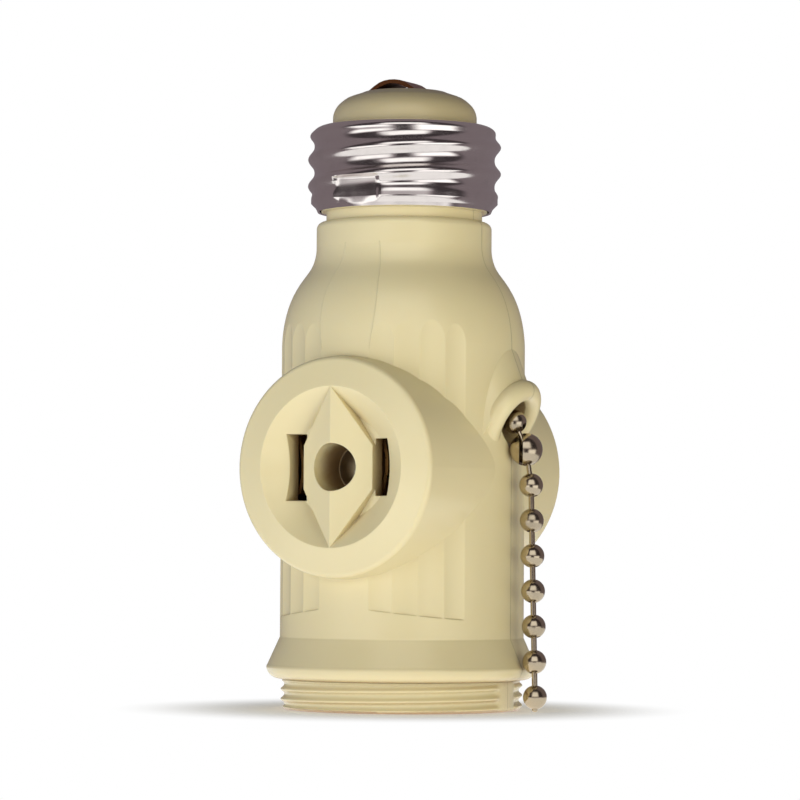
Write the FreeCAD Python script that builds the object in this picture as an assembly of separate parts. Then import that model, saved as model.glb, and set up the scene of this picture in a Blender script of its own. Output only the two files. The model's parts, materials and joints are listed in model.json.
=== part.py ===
"""Lamp socket adapter: screw base on top, two outlets, a pull-chain switch and a lampholder below.

Millimetres. The origin is the centre of the lampholder's mouth, +Z runs up to the screw base,
the front outlet faces -Y and the pull chain leaves towards +X. The two moulded halves meet on y = 0.
"""

import FreeCAD, Part
import math
import os

V = FreeCAD.Vector
X_AXIS = V(1, 0, 0)
Y_AXIS = V(0, 1, 0)
Z_AXIS = V(0, 0, 1)
ORIGIN = V(0, 0, 0)

# Running and seating clearances
SEAT = 0.1
RUNNING = 0.05
FAR = 60.0

# Housing body from the mouth up: lampholder, outlets' bay, switch bay, shoulder and neck
BODY_R = 16.5
WALL = 2.3
CHAMBER_R = BODY_R - WALL
MOUTH_BORE_R = CHAMBER_R + 0.3
MOUTH_BORE_H = 2.6
HOLDER_LOW_Z = 3.0
HOLDER_H = 22.2
FLOOR_LOW_Z = HOLDER_LOW_Z + HOLDER_H
FLOOR_H = 2.0
FLOOR_TOP_Z = FLOOR_LOW_Z + FLOOR_H
FLOOR_GROOVE = 0.75
BAY_BELOW_OUTLETS = 5.1
BAY_ABOVE_OUTLETS = 5.65
OUTLET_Z = FLOOR_TOP_Z + BAY_BELOW_OUTLETS
SHELF_LOW_Z = OUTLET_Z + BAY_ABOVE_OUTLETS
SHELF_H = 1.05
SHELF_TOP_Z = SHELF_LOW_Z + SHELF_H
SHELF_BORE_R = CHAMBER_R - 3.2
SWITCH_FLOOR_H = 1.8
SWITCH_FLOOR_TOP_Z = SHELF_TOP_Z + SWITCH_FLOOR_H
SWITCH_BAY_H = 8.1
KEEPER_H = 1.0
KEEPER_BORE_R = CHAMBER_R - 0.8
BODY_TOP_Z = SWITCH_FLOOR_TOP_Z + SWITCH_BAY_H
SHOULDER_H = 13.4
NECK_R = 11.9
NECK_LOW_Z = BODY_TOP_Z + SHOULDER_H
NECK_H = 3.6
NECK_TOP_Z = NECK_LOW_Z + NECK_H
NECK_EDGE = 0.9
NECK_BORE_R = 9.2
COLLAR_R = 10.6
COLLAR_H = 1.35
COLLAR_TOP_Z = NECK_TOP_Z + COLLAR_H

# Screw base shell, seated on the collar
SHELL_T = 0.3
SHELL_PITCH = 3.629
SHELL_MID_R = 12.7
SHELL_WAVE = 0.4
SHELL_WAVES = 2
THREAD_FLAT = 0.75
SHELL_RIM_R = SHELL_MID_R - 0.9
SHELL_RIM_Z = COLLAR_TOP_Z + RUNNING
SHELL_H = 11.6
SHELL_TOP_Z = SHELL_RIM_Z + SHELL_H
SHELL_TOP_HOLE_R = 10.0
SHELL_EDGE_R = 1.5
SPIGOT_R = SHELL_MID_R - 1.4
SPIGOT_TOP_Z = SHELL_TOP_Z - 2.5

# Insulating cap and centre contact on top of it
CAP_R = SHELL_TOP_HOLE_R - 0.2
CAP_FLANGE_R = CAP_R + 1.2
CAP_FLANGE_H = 1.6
CAP_FLANGE_LOW_Z = SPIGOT_TOP_Z + 0.5
CAP_RISE = 5.4
CAP_TOP_Z = SHELL_TOP_Z + CAP_RISE
CAP_TOP_R = 5.7
CAP_WALL = 1.8
CAP_SLOT = 1.4
CONTACT_T = 0.35
CONTACT_HALF_WIDTH = 2.5
CONTACT_RISE = 1.2
CONTACT_APEX_Z = CAP_TOP_Z + CONTACT_RISE
CONTACT_APEX_X = -0.8
CONTACT_LEG_X = 3.6
CONTACT_TOE_X = -4.2

# Lower flare and the shade-ring thread under it
THREAD_CORE_R = BODY_R - 0.65
THREAD_BAND_H = 4.1
FLARE_R = BODY_R + 1.8
FLARE_WIDEST_Z = THREAD_BAND_H + 1.5
FLARE_TOP_Z = THREAD_BAND_H + 5.6
FLARE_EDGE = 0.45
FLARE_FOOT = 1.6

# Grip flutes: ridge angles measured from the outlets' axis
RIDGE_ANGLES = (13.0, 24.0, 35.8, 48.0, 58.5)
FLUTE_RADIUS = 9.0
FLUTE_LOW_Z = 13.6
FLUTE_END_SLANT = 7.0
FLUTE_HIGH_Z = BODY_TOP_Z + 7.1

# Outlets: u is to the right seen from the front, w is the distance from the Z axis
BOSS_ROOT_R = 15.6
BOSS_R = 14.5
BOSS_FACE_W = BODY_R + 2.6
BOSS_EDGE = 0.7
RECESS_R = 10.6
RECESS_W = BODY_R + 3.5
DISH_DEPTH = 3.0
DISH_W = RECESS_W - DISH_DEPTH
DISH_FLOOR_R = 7.0
DIAMOND_HALF_WIDTH = DISH_FLOOR_R + 0.1
DIAMOND_EDGE_W = DISH_W + 0.05
BOSS_CAVITY_R = 12.4
BOSS_CAVITY_W = DISH_W - 1.8
POST_R = 4.5
POST_W = BOSS_CAVITY_W - 5.7
CENTRE_HOLE_R = 3.15
CENTRE_HOLE_W = RECESS_W - 8.0
SLOT_U = 6.35
SLOT_WIDTH = 2.35
NEUTRAL_SLOT_H = 8.8
HOT_SLOT_H = 7.5

# Bell mouth for the chain
MOUTH_X = BODY_R - 0.2
MOUTH_Z = SHELF_TOP_Z + 0.1
MOUTH_TILT = 30.0
LIP_RING_R = 4.3
LIP_R = 1.4
THROAT_DEPTH = 3.2
FAIRING_R = 6.3
FAIRING_TILT = 21.0
FAIRING_TIP_X = MOUTH_X + 2.8
FAIRING_TIP_Z = MOUTH_Z + 2.5

# Lampholder
HOLDER_MID_R = CHAMBER_R - 1.15
HOLDER_WAVES = 5
HOLDER_FLANGE_BORE_R = 9.4
HOLDER_RIVET_Y = HOLDER_FLANGE_BORE_R + 1.6
TONGUE_T = 0.4
TONGUE_HALF_WIDTH = 2.6
TONGUE_RIVET_X = 7.2

# Brass strip and outlet contacts
STRIP_T = 0.4
BUS_T = 0.5
BUS_HALF_WIDTH = 2.0
BUS_END_Y = 9.5
SPRING_T = 0.45
CONTACT_IN_W = 2.8
CONTACT_OUT_W = BOSS_CAVITY_W - 0.6
CONTACT_H = BAY_BELOW_OUTLETS + 3.6
CONTACT_HALF_GAP = 0.62
CONTACT_HALF_WIDE = 1.15
CONTACT_HALF_TIP = 1.2

# Where the strips run, as x and a span of y
SHELL_STRAP_X = -SHELF_BORE_R + 0.6
SHELL_STRAP_HALF_Y = 1.75
SHELL_STRAP_NECK_X = -NECK_BORE_R + 1.0
RISER_X = -CHAMBER_R + 2.3
RISER_LOW_Y = 2.2
RISER_HIGH_Y = 5.0
HOLDER_STRAP_X = SHELF_BORE_R
HOLDER_STRAP_LOW_Y = 4.8
HOLDER_STRAP_HIGH_Y = 7.4
LOAD_STRAP_X = SHELF_BORE_R - 0.6
LOAD_STRAP_LOW_Y = -3.3
LOAD_STRAP_HIGH_Y = 1.3
BRUSH_HIGH_Y = -1.0

# Rivets
HOUSING_RIVET_R = 1.55
HOUSING_RIVET_HEAD_R = CENTRE_HOLE_R - 0.15
HOUSING_RIVET_HEAD_H = 1.1
SMALL_RIVET_R = 0.9
SMALL_RIVET_HEAD_R = 1.4
TONGUE_RIVET_R = 1.2
TONGUE_RIVET_HEAD_R = 2.0
RIVET_HEAD_H = 0.5

# Bead chain
BEAD_R = 1.6
BEAD_WALL = 0.28
BEAD_PITCH = 4.72
WIRE_R = 0.38
KNOB_R = 0.55
KNOB_OFFSET = 0.6
END_STUB = 0.35
LOWEST_BEAD_Z = BEAD_R + END_STUB + 0.13
MOUTH_BEAD = V(BODY_R + 0.46, 0, SHELF_TOP_Z - 0.3)
HANG_TOP = MOUTH_BEAD + V(2.49, 0, -8.5)
HANG_LOW_X = HANG_TOP.x + 0.7
OUTER_BEADS = 7
PULL_TILT = 25.0
COUPLING_STEP = 4.12
COUPLING_R = 2.2
COUPLING_WALL = 0.35
COUPLING_SLIT = 0.5
COUPLING_SLIT_X = -0.75
COUPLING_SLIT_TURN = 28.0
SWING_OUT = 40.0
BEND_OUT = 18.0
BEND_SIDE = 18.0

# Switch
LEVER_ARM = 9.0
LEVER_HALF_TURN = 22.5
LEVER_T = 0.8
LEVER_OUT_Y = 4.4
LEVER_EYE_R = 2.8
LEVER_HALF_HEIGHT = 1.5
FORK_T = 0.6
FORK_TIP_R = LEVER_ARM + 1.3
FORK_ROOT_R = LEVER_ARM - 2.6
FORK_SLOT_R = LEVER_ARM - 0.75
FORK_SLOT_HALF = 0.7
FORK_TIP_HALF = 1.9
PLATE_R = LEVER_ARM - 0.8
AXLE_R = 1.0
AXLE_HEAD_R = 1.7
AXLE_HEAD_H = 0.6
CHEEK_IN_Y = LEVER_OUT_Y + 0.6
CHEEK_T = 1.4
ROTOR_R = 4.6
ROTOR_HALF_T = 2.0
RATCHET_ROOT_R = 3.6
RATCHET_TEETH = 8
RATCHET_TOOTH_T = 1.7
HUB_R = 1.9
ROTOR_PLATE_R = 5.2
ROTOR_PLATE_T = 0.5
LOBE_HALF_WIDTH = 1.1
SPRING_WIRE_R = 0.2
SPRING_COIL_R = 2.5
SPRING_TURNS = 1.5
SPRING_LEG = 3.5
SPRING_TAIL = 4.0
BACK_WALL_T = 1.4
BACK_WALL_HALF_Y = 4.2
BRUSH_GAP = 0.15

PULL_DIR = V(math.sin(math.radians(PULL_TILT)), 0, -math.cos(math.radians(PULL_TILT)))
FORK_LINE_OFFSET = LEVER_ARM * math.tan(math.radians(LEVER_HALF_TURN))
PULL_TRAVEL = 2 * FORK_LINE_OFFSET
FORK_STEP = 3.5 * BEAD_PITCH
ARM_MID = MOUTH_BEAD - PULL_DIR * (FORK_STEP - FORK_LINE_OFFSET)
AXLE_X = ARM_MID.x - LEVER_ARM * math.cos(math.radians(PULL_TILT))
AXLE_Z = ARM_MID.z - LEVER_ARM * math.sin(math.radians(PULL_TILT))
ARM_REST_ANGLE = PULL_TILT + LEVER_HALF_TURN
BACK_WALL_X = AXLE_X - 11.4
BACK_WALL_TOP_Z = AXLE_Z + 10.0
CHEEK_TOP_Z = AXLE_Z + 6.5


def xz(x, z, y=0.0):
    return V(x, y, z)


def wire_of(start, steps, place=xz):
    """A closed wire. A step is an end point, a (middle, end) pair for an arc, or a list for a curve."""
    here = start
    edges = []
    for step in list(steps) + [start]:
        if isinstance(step, list):
            curve = Part.BSplineCurve()
            curve.interpolate([place(*point) for point in [here] + step])
            edges.append(curve.toShape())
            here = step[-1]
        elif isinstance(step[0], tuple):
            middle, end = step
            edges.append(Part.Arc(place(*here), place(*middle), place(*end)).toShape())
            here = end
        elif math.dist(here, step) > 1e-6:
            edges.append(Part.makeLine(place(*here), place(*step)))
            here = step
    return Part.Wire(edges)


def turned(start, steps, base=ORIGIN, axis=Z_AXIS):
    """A solid of revolution from a closed (radius, height) outline in the XZ plane."""
    return Part.Face(wire_of(start, steps)).revolve(base, axis, 360)


def disc(radius, low_z, high_z):
    return Part.makeCylinder(radius, high_z - low_z, V(0, 0, low_z))


def ring(outer_r, inner_r, low_z, high_z):
    return disc(outer_r, low_z, high_z).cut(disc(inner_r, low_z - 1, high_z + 1))


def block(low, high):
    return Part.makeBox(high[0] - low[0], high[1] - low[1], high[2] - low[2], V(*low))


def rod(start, end, radius):
    along = end - start
    return Part.makeCylinder(radius, along.Length, start, along)


def union(shapes):
    first, *others = shapes
    return first.fuse(others).removeSplitter() if others else first


def one_solid(shape):
    return shape.Solids[0] if len(shape.Solids) == 1 else shape


def strip(path, thickness, low_y, high_y):
    """Sheet metal bent along a path of (x, z) points; its left side is the path."""
    left = [V(x, 0, z) for x, z in path]
    right = []
    for i, point in enumerate(left):
        before = (point - left[i - 1]).normalize() if i else None
        after = (left[i + 1] - point).normalize() if i < len(left) - 1 else None
        along = before + after if before and after else before or after
        along.normalize()
        normal = V(along.z, 0, -along.x)
        run = after or before
        stretch = 1.0 / max(0.3, normal.dot(V(run.z, 0, -run.x)))
        right.append(point + normal * (thickness * stretch))
    outline = left + right[::-1]
    wire = Part.makePolygon([point + V(0, low_y, 0) for point in outline + outline[:1]])
    return Part.Face(wire).extrude(V(0, high_y - low_y, 0))


def plan_bar(start, end, half_width, low_z, high_z):
    """A flat bar between two (x, y) points."""
    along = V(end[0] - start[0], end[1] - start[1], 0)
    side = V(-along.y, along.x, 0).normalize() * half_width
    first = V(start[0], start[1], low_z)
    last = V(end[0], end[1], low_z)
    wire = Part.makePolygon([first + side, last + side, last - side, first - side, first + side])
    return Part.Face(wire).extrude(V(0, 0, high_z - low_z))


def polyhedron(faces):
    """A solid from planar faces given as lists of points."""
    made = [Part.Face(Part.makePolygon(list(points) + [points[0]])) for points in faces]
    return Part.Solid(Part.makeShell(made))


def at_rear(shape):
    copy = shape.copy()
    copy.rotate(ORIGIN, Z_AXIS, 180)
    return copy


def outlet_point(u, w, v):
    return V(u, -w, OUTLET_Z + v)


def outlet_rod(radius, low_w, high_w, u=0.0):
    return rod(outlet_point(u, low_w, 0), outlet_point(u, high_w, 0), radius)


def outlet_turned(start, steps):
    """A solid of revolution about the outlets' axis from a closed (radius, w) outline."""
    face = Part.Face(wire_of(start, steps, lambda r, w: outlet_point(r, w, 0)))
    return face.revolve(outlet_point(0, 0, 0), Y_AXIS, 360)


def evenly(low, high, count):
    return [low + (high - low) * i / (count - 1) for i in range(count)]


def rolled_steps(middle_r, first_z, waves, pitch, depth):
    """A rolled thread's outline as plain rings, a crest and then a root for each wave, up from first_z."""
    steps = []
    for i in range(2 * waves):
        middle_z = first_z + pitch / 4 * (2 * i + 1)
        radius = middle_r + (depth if i % 2 == 0 else -depth)
        steps += [(radius, middle_z - THREAD_FLAT / 2), (radius, middle_z + THREAD_FLAT / 2)]
    return steps + [(middle_r, first_z + pitch * waves)]


def down_again(start, steps):
    """The steps of an outline, run backwards from its end to its start."""
    ends = [start] + [step[1] if isinstance(step[0], tuple) else step for step in steps]
    back = []
    for step, end in zip(reversed(steps), reversed(ends[:-1])):
        back.append((step[0], end) if isinstance(step[0], tuple) else end)
    return back


def cap_middle(radius, rise):
    """Half-way point of a low dome's arc, as (radius, height over its base)."""
    ball_r = (radius**2 + rise**2) / (2 * rise)
    return radius / 2, rise - ball_r + math.sqrt(ball_r**2 - radius**2 / 4)


def shoulder_points(inset):
    """The shoulder's S curve from the body up to the neck, moved in by inset."""
    body_r = BODY_R - inset
    neck_r = NECK_R - min(inset, NECK_R - NECK_BORE_R)
    rise = NECK_LOW_Z - BODY_TOP_Z
    shares = ((0.23, 0.065), (0.45, 0.24), (0.67, 0.59), (0.81, 0.87), (0.92, 0.975), (1.0, 1.0))
    return [(body_r - (body_r - neck_r) * across, BODY_TOP_Z + rise * up) for up, across in shares]


def housing_skin():
    """Outer form of both halves before flutes, bosses and the bell mouth."""
    under = (FLARE_R - 0.35 * FLARE_FOOT, THREAD_BAND_H + 0.3 * (FLARE_WIDEST_Z - THREAD_BAND_H))
    edge = (FLARE_R - 0.07 * FLARE_EDGE, FLARE_WIDEST_Z + 0.55 * FLARE_EDGE)
    slope_foot = (FLARE_R - 0.33 * FLARE_EDGE, FLARE_WIDEST_Z + FLARE_EDGE)
    return turned(
        (0, 0),
        [
            (THREAD_CORE_R - 0.3, 0),
            (THREAD_CORE_R, 0.3),
            (THREAD_CORE_R, THREAD_BAND_H),
            (FLARE_R - FLARE_FOOT, THREAD_BAND_H),
            (under, (FLARE_R, FLARE_WIDEST_Z)),
            (edge, slope_foot),
            (BODY_R, FLARE_TOP_Z),
            (BODY_R, BODY_TOP_Z),
            shoulder_points(0),
            (NECK_R, NECK_TOP_Z - NECK_EDGE),
            ((NECK_R - 0.3 * NECK_EDGE, NECK_TOP_Z - 0.3 * NECK_EDGE), (NECK_R - NECK_EDGE, NECK_TOP_Z)),
            (COLLAR_R, NECK_TOP_Z),
            (COLLAR_R, COLLAR_TOP_Z),
            (SPIGOT_R, COLLAR_TOP_Z + 0.1),
            (SPIGOT_R, SPIGOT_TOP_Z - 0.3),
            (SPIGOT_R - 0.3, SPIGOT_TOP_Z),
            (0, SPIGOT_TOP_Z),
        ],
    )


def flutes():
    """Cutters for the concave grip flutes, four beside each end of the outlets' axis; their feet slant."""
    low_z = FLUTE_LOW_Z - BODY_R * math.tan(math.radians(FLUTE_END_SLANT))
    under = block((0, -FAR, -FAR), (FAR, FAR, 0))
    under.rotate(ORIGIN, Y_AXIS, FLUTE_END_SLANT)
    under.translate(V(BODY_R * math.sin(math.radians(RIDGE_ANGLES[0])), 0, FLUTE_LOW_Z))
    cutters = []
    for low, high in zip(RIDGE_ANGLES, RIDGE_ANGLES[1:]):
        middle = math.radians((low + high) / 2)
        half_chord = BODY_R * math.sin(math.radians(high - low) / 2)
        chord_r = BODY_R * math.cos(math.radians(high - low) / 2)
        centre_r = chord_r + math.sqrt(FLUTE_RADIUS**2 - half_chord**2)
        centre = V(centre_r * math.sin(middle), -centre_r * math.cos(middle), low_z)
        groove = Part.makeCylinder(FLUTE_RADIUS, FLUTE_HIGH_Z - low_z, centre)
        right = groove.cut(under)
        cutters += [right, right.mirror(ORIGIN, X_AXIS)]
    return cutters + [at_rear(cutter) for cutter in cutters]


def boss_form():
    """The front outlet's boss with its face, before the recess is cut."""
    taper = (BOSS_ROOT_R - BOSS_R) / (BOSS_FACE_W - BODY_R * 0.5)
    inner_r = BOSS_R + taper * BOSS_FACE_W
    edge_r = BOSS_R + taper * BOSS_EDGE
    rounded = ((BOSS_R - 0.1, BOSS_FACE_W - 0.15), (BOSS_R - BOSS_EDGE, BOSS_FACE_W + 0.16))
    outline = [(inner_r, 0), (edge_r, BOSS_FACE_W - BOSS_EDGE), rounded, (RECESS_R, RECESS_W), (0, RECESS_W)]
    return outlet_turned((0, 0), outline)


def recess_cutter():
    """Dished recess of the front outlet, less the diamond that stands in it."""
    wall = [(DISH_FLOOR_R, DISH_W), (RECESS_R, RECESS_W), (RECESS_R, RECESS_W + 1)]
    dish = outlet_turned((0, DISH_W), wall + [(0, RECESS_W + 1)])
    below = DISH_W - 1
    for up in (1, -1):
        tip = outlet_point(0, RECESS_W, up * RECESS_R)
        tip_low = outlet_point(0, below, up * RECESS_R)
        middle = outlet_point(0, RECESS_W, 0)
        left, right = (outlet_point(side * DIAMOND_HALF_WIDTH, DIAMOND_EDGE_W, 0) for side in (-1, 1))
        left_low, right_low = (outlet_point(side * DIAMOND_HALF_WIDTH, below, 0) for side in (-1, 1))
        roof = polyhedron(
            [
                [tip, middle, left],
                [tip, right, middle],
                [tip, left, left_low, tip_low],
                [tip, tip_low, right_low, right],
                [left, middle, right, right_low, left_low],
                [tip_low, left_low, right_low],
            ]
        )
        dish = dish.cut(roof)
    return dish


def slot_cutters():
    made = []
    for u, height in ((-SLOT_U, NEUTRAL_SLOT_H), (SLOT_U, HOT_SLOT_H)):
        low = outlet_point(u - SLOT_WIDTH / 2, RECESS_W, -height / 2)
        made.append(Part.makeBox(SLOT_WIDTH, RECESS_W - BOSS_CAVITY_W + 1, height, low))
    return made


def bell_mouth():
    """Rolled lip and the fairing above it, where the pull chain leaves the housing."""
    tilt = math.radians(MOUTH_TILT)
    mouth_axis = V(math.cos(tilt), 0, -math.sin(tilt))
    centre = V(MOUTH_X, 0, MOUTH_Z)
    lip = Part.makeTorus(LIP_RING_R, LIP_R, centre, mouth_axis)
    lean = math.radians(FAIRING_TILT)
    down = V(math.sin(lean), 0, -math.cos(lean))
    outward = V(math.cos(lean), 0, math.sin(lean))
    tip = V(FAIRING_TIP_X, 0, FAIRING_TIP_Z)
    axis_point = tip - outward * FAIRING_R
    fairing = rod(axis_point + down * BODY_R, axis_point - down * BODY_R, FAIRING_R)
    beyond = Part.makeCylinder(3 * FAIRING_R, FAR, centre + mouth_axis * (LIP_R / 5), mouth_axis)
    core = disc(BODY_R - WALL / 2, 0, BODY_TOP_Z + SHOULDER_H)
    return [lip.cut(core), fairing.cut(beyond).cut(core)]


def mouth_cutters():
    """The open throat behind the lip and the chain's straight path through the wall."""
    tilt = math.radians(MOUTH_TILT)
    mouth_axis = V(math.cos(tilt), 0, -math.sin(tilt))
    centre = V(MOUTH_X, 0, MOUTH_Z)
    throat_r = LIP_RING_R - LIP_R
    throat = Part.makeCylinder(throat_r, FAR, centre - mouth_axis * THROAT_DEPTH, mouth_axis)
    path_r = BEAD_R + 4 * SEAT
    above, below = (MOUTH_BEAD + PULL_DIR * (count * BEAD_PITCH) for count in (-2.3, 1.3))
    path = rod(above, below, path_r)
    return [throat, path]


def housing_cavity():
    """Everything that is hollow along the Z axis inside the closed halves."""
    keeper_low = SWITCH_FLOOR_TOP_Z + RUNNING
    groove_r = CHAMBER_R + FLOOR_GROOVE
    return turned(
        (0, -1),
        [
            (MOUTH_BORE_R, -1),
            (MOUTH_BORE_R, MOUTH_BORE_H),
            (CHAMBER_R, MOUTH_BORE_H),
            (CHAMBER_R, FLOOR_LOW_Z),
            (groove_r, FLOOR_LOW_Z),
            (groove_r, FLOOR_TOP_Z),
            (CHAMBER_R, FLOOR_TOP_Z),
            (CHAMBER_R, SHELF_LOW_Z),
            (SHELF_BORE_R, SHELF_LOW_Z),
            (SHELF_BORE_R, SHELF_TOP_Z),
            (CHAMBER_R, SHELF_TOP_Z),
            (CHAMBER_R, keeper_low),
            (KEEPER_BORE_R, keeper_low),
            (KEEPER_BORE_R, keeper_low + KEEPER_H),
            (CHAMBER_R, keeper_low + KEEPER_H),
            (CHAMBER_R, BODY_TOP_Z),
            *shoulder_points(WALL)[1:4],
            (NECK_BORE_R + 0.4, NECK_LOW_Z),
            (NECK_BORE_R, NECK_LOW_Z + 0.4),
            (NECK_BORE_R, SPIGOT_TOP_Z + 1),
            (0, SPIGOT_TOP_Z + 1),
        ],
    )


def whole_housing():
    skin = housing_skin().cut(flutes())
    solid = skin.fuse([boss_form(), at_rear(boss_form())] + bell_mouth())
    bay = block((-FAR, -FAR, FLOOR_TOP_Z), (FAR, 0, SHELF_LOW_Z))
    pocket = outlet_rod(BOSS_CAVITY_R, 0, BOSS_CAVITY_W).common(bay)
    post = outlet_rod(POST_R, POST_W, BOSS_CAVITY_W + 1)
    cavity = housing_cavity().fuse([pocket, at_rear(pocket)]).cut([post, at_rear(post)])
    centre_hole = outlet_rod(CENTRE_HOLE_R, CENTRE_HOLE_W, RECESS_W + 1)
    rivet_hole = outlet_rod(HOUSING_RIVET_R + SEAT, 0, RECESS_W)
    outlet_cuts = [recess_cutter(), centre_hole, rivet_hole] + slot_cutters()
    cuts = [cavity] + outlet_cuts + [at_rear(cut) for cut in outlet_cuts] + mouth_cutters() + strap_notches()
    return solid.cut(cuts)


def strap_notches():
    """Gaps in the shelf for the brass strips that pass it."""
    gap = 4 * SEAT
    low_z = SHELF_LOW_Z - gap
    spans = (
        (-CHAMBER_R + gap, -SHELF_BORE_R + 2, RISER_LOW_Y, RISER_HIGH_Y),
        (HOLDER_STRAP_X - 4, HOLDER_STRAP_X + 2 * gap, HOLDER_STRAP_LOW_Y, HOLDER_STRAP_HIGH_Y),
        (LOAD_STRAP_X - 1, LOAD_STRAP_X + 2 * gap, LOAD_STRAP_LOW_Y, LOAD_STRAP_HIGH_Y),
    )
    return [block((x0, y0 - gap, low_z), (x1, y1 + gap, SHELF_TOP_Z)) for x0, x1, y0, y1 in spans]


def housing_half(whole, front):
    reach = block((-FAR, -FAR, -1), (FAR, 0, 2 * FAR))
    return one_solid(whole.common(reach if front else at_rear(reach)))


def housing_rivet():
    """Through rivet that holds the halves together, its heads at the bottom of the centre holes."""
    grip = CENTRE_HOLE_W
    middle_r, middle_h = cap_middle(HOUSING_RIVET_HEAD_R, HOUSING_RIVET_HEAD_H)
    dome = ((middle_r, grip + middle_h), (0, grip + HOUSING_RIVET_HEAD_H))
    shank = [(HOUSING_RIVET_R, 0), (HOUSING_RIVET_R, grip)]
    half = outlet_turned((0, 0), shank + [(HOUSING_RIVET_HEAD_R, grip), dome])
    return one_solid(union([half, at_rear(half)]))


def base_screw_shell():
    """Drawn shell with a rolled medium-base thread, its top edge curled in over the cap."""
    curl_z = SHELL_TOP_Z - SHELL_EDGE_R
    first_z = curl_z - SHELL_WAVES * SHELL_PITCH

    def outline(inset):
        middle_r = SHELL_MID_R - inset
        curl_r = SHELL_EDGE_R - inset
        centre_r = SHELL_MID_R - SHELL_EDGE_R
        turn = math.radians(45)
        curl_middle = (centre_r + curl_r * math.cos(turn), curl_z + curl_r * math.sin(turn))
        steps = [(middle_r, first_z)]
        steps += rolled_steps(middle_r, first_z, SHELL_WAVES, SHELL_PITCH, SHELL_WAVE)
        steps += [(curl_middle, (centre_r, curl_z + curl_r)), (SHELL_TOP_HOLE_R, curl_z + curl_r)]
        return (SHELL_RIM_R - inset, SHELL_RIM_Z), steps

    start, outer = outline(0)
    inner_start, inner = outline(SHELL_T)
    last = inner[-1]
    return turned(start, outer + [last] + down_again(inner_start, inner))


def lampholder_shell():
    """Female screw shell with a flange that is riveted under the floor."""
    top_z = FLOOR_LOW_Z
    first_z = HOLDER_LOW_Z + 0.6

    def outline(inset):
        middle_r = HOLDER_MID_R + SHELL_T - inset
        steps = [(middle_r, first_z)]
        steps += rolled_steps(middle_r, first_z, HOLDER_WAVES, SHELL_PITCH, SHELL_WAVE)
        top = top_z - inset
        return (middle_r, HOLDER_LOW_Z), steps + [(middle_r, top), (HOLDER_FLANGE_BORE_R, top)]

    start, outer = outline(0)
    inner_start, inner = outline(SHELL_T)
    shell = turned(start, outer + [inner[-1]] + down_again(inner_start, inner))
    gap = 6 * SEAT
    low = (0, LOAD_STRAP_LOW_Y - gap, FLOOR_LOW_Z - 1)
    high = (HOLDER_MID_R - 1, LOAD_STRAP_HIGH_Y + gap, FLOOR_TOP_Z)
    return one_solid(shell.cut([block(low, high)] + holder_rivet_holes()))


def base_insulator():
    """Moulded cap under the shell's curled edge, with a slot for the centre contact's leg."""
    flange_top = CAP_FLANGE_LOW_Z + CAP_FLANGE_H
    shoulder = ((CAP_R - 0.2, CAP_TOP_Z - 3.2), (CAP_R - 0.9, CAP_TOP_Z - 2.2))
    foot, (middle, edge) = (CAP_R, CAP_TOP_Z - 4.4), shoulder
    centre_z = (edge[0] ** 2 - CAP_TOP_R**2 + edge[1] ** 2 - CAP_TOP_Z**2) / (2 * (edge[1] - CAP_TOP_Z))
    ball_r = math.hypot(CAP_TOP_R, CAP_TOP_Z - centre_z)
    between_r = (edge[0] + CAP_TOP_R) / 2
    dome = ((between_r, centre_z + math.sqrt(ball_r**2 - between_r**2)), (CAP_TOP_R, CAP_TOP_Z))
    inner = CAP_R - CAP_WALL
    solid = turned(
        (inner, CAP_FLANGE_LOW_Z),
        [
            (CAP_FLANGE_R, CAP_FLANGE_LOW_Z),
            (CAP_FLANGE_R, flange_top),
            (CAP_R, flange_top),
            (CAP_R, SHELL_TOP_Z + 0.1),
            foot,
            (middle, edge),
            dome,
            (0, CAP_TOP_Z),
            (0, CAP_TOP_Z - CAP_WALL),
            (inner - CAP_WALL, CAP_TOP_Z - CAP_WALL),
            (inner, CAP_TOP_Z - 2.4 * CAP_WALL),
        ],
    )
    side = CONTACT_HALF_WIDTH + SEAT
    low = (CONTACT_LEG_X - CAP_SLOT, -side, CAP_TOP_Z - 2 * CAP_WALL)
    return one_solid(solid.cut(block(low, (CONTACT_LEG_X + SEAT, side, CAP_TOP_Z + 1))))


def base_contact():
    """Arched centre contact whose leg runs down inside the neck to the switch's line terminal."""
    toe_top = CAP_TOP_Z + CONTACT_T + 0.03
    sag = (CONTACT_APEX_Z - toe_top) / (CONTACT_APEX_X - CONTACT_TOE_X) ** 2
    along = evenly(CONTACT_TOE_X, CONTACT_LEG_X, 11)
    arch = [(x, CONTACT_APEX_Z - sag * (x - CONTACT_APEX_X) ** 2) for x in along]
    terminal_z = BACK_WALL_TOP_Z + STRIP_T
    leg = [(CONTACT_LEG_X, terminal_z + 3.6), (BACK_WALL_X + 2.4, terminal_z), (BACK_WALL_X, terminal_z)]
    return strip(arch + leg, CONTACT_T, -CONTACT_HALF_WIDTH, CONTACT_HALF_WIDTH)


def rivet_hole(x, y, radius):
    return rod(V(x, y, FLOOR_LOW_Z - 2), V(x, y, FLOOR_TOP_Z + 2), radius + RUNNING)


def holder_rivet_holes():
    return [rivet_hole(0, y, SMALL_RIVET_R) for y in (-HOLDER_RIVET_Y, HOLDER_RIVET_Y)]


def rivet(x, y, radius, head_r, low_z, high_z):
    """An upright rivet clinched between low_z and high_z, with low domed heads."""
    middle_r, middle_h = cap_middle(head_r, RIVET_HEAD_H)
    dome_low = ((middle_r, low_z - middle_h), (0, low_z - RIVET_HEAD_H))
    dome_high = ((middle_r, high_z + middle_h), (head_r, high_z))
    outline = [dome_high, (radius, high_z), (radius, low_z), (head_r, low_z), dome_low]
    solid = turned((0, high_z + RIVET_HEAD_H), outline)
    solid.translate(V(x, y, 0))
    return solid


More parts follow.
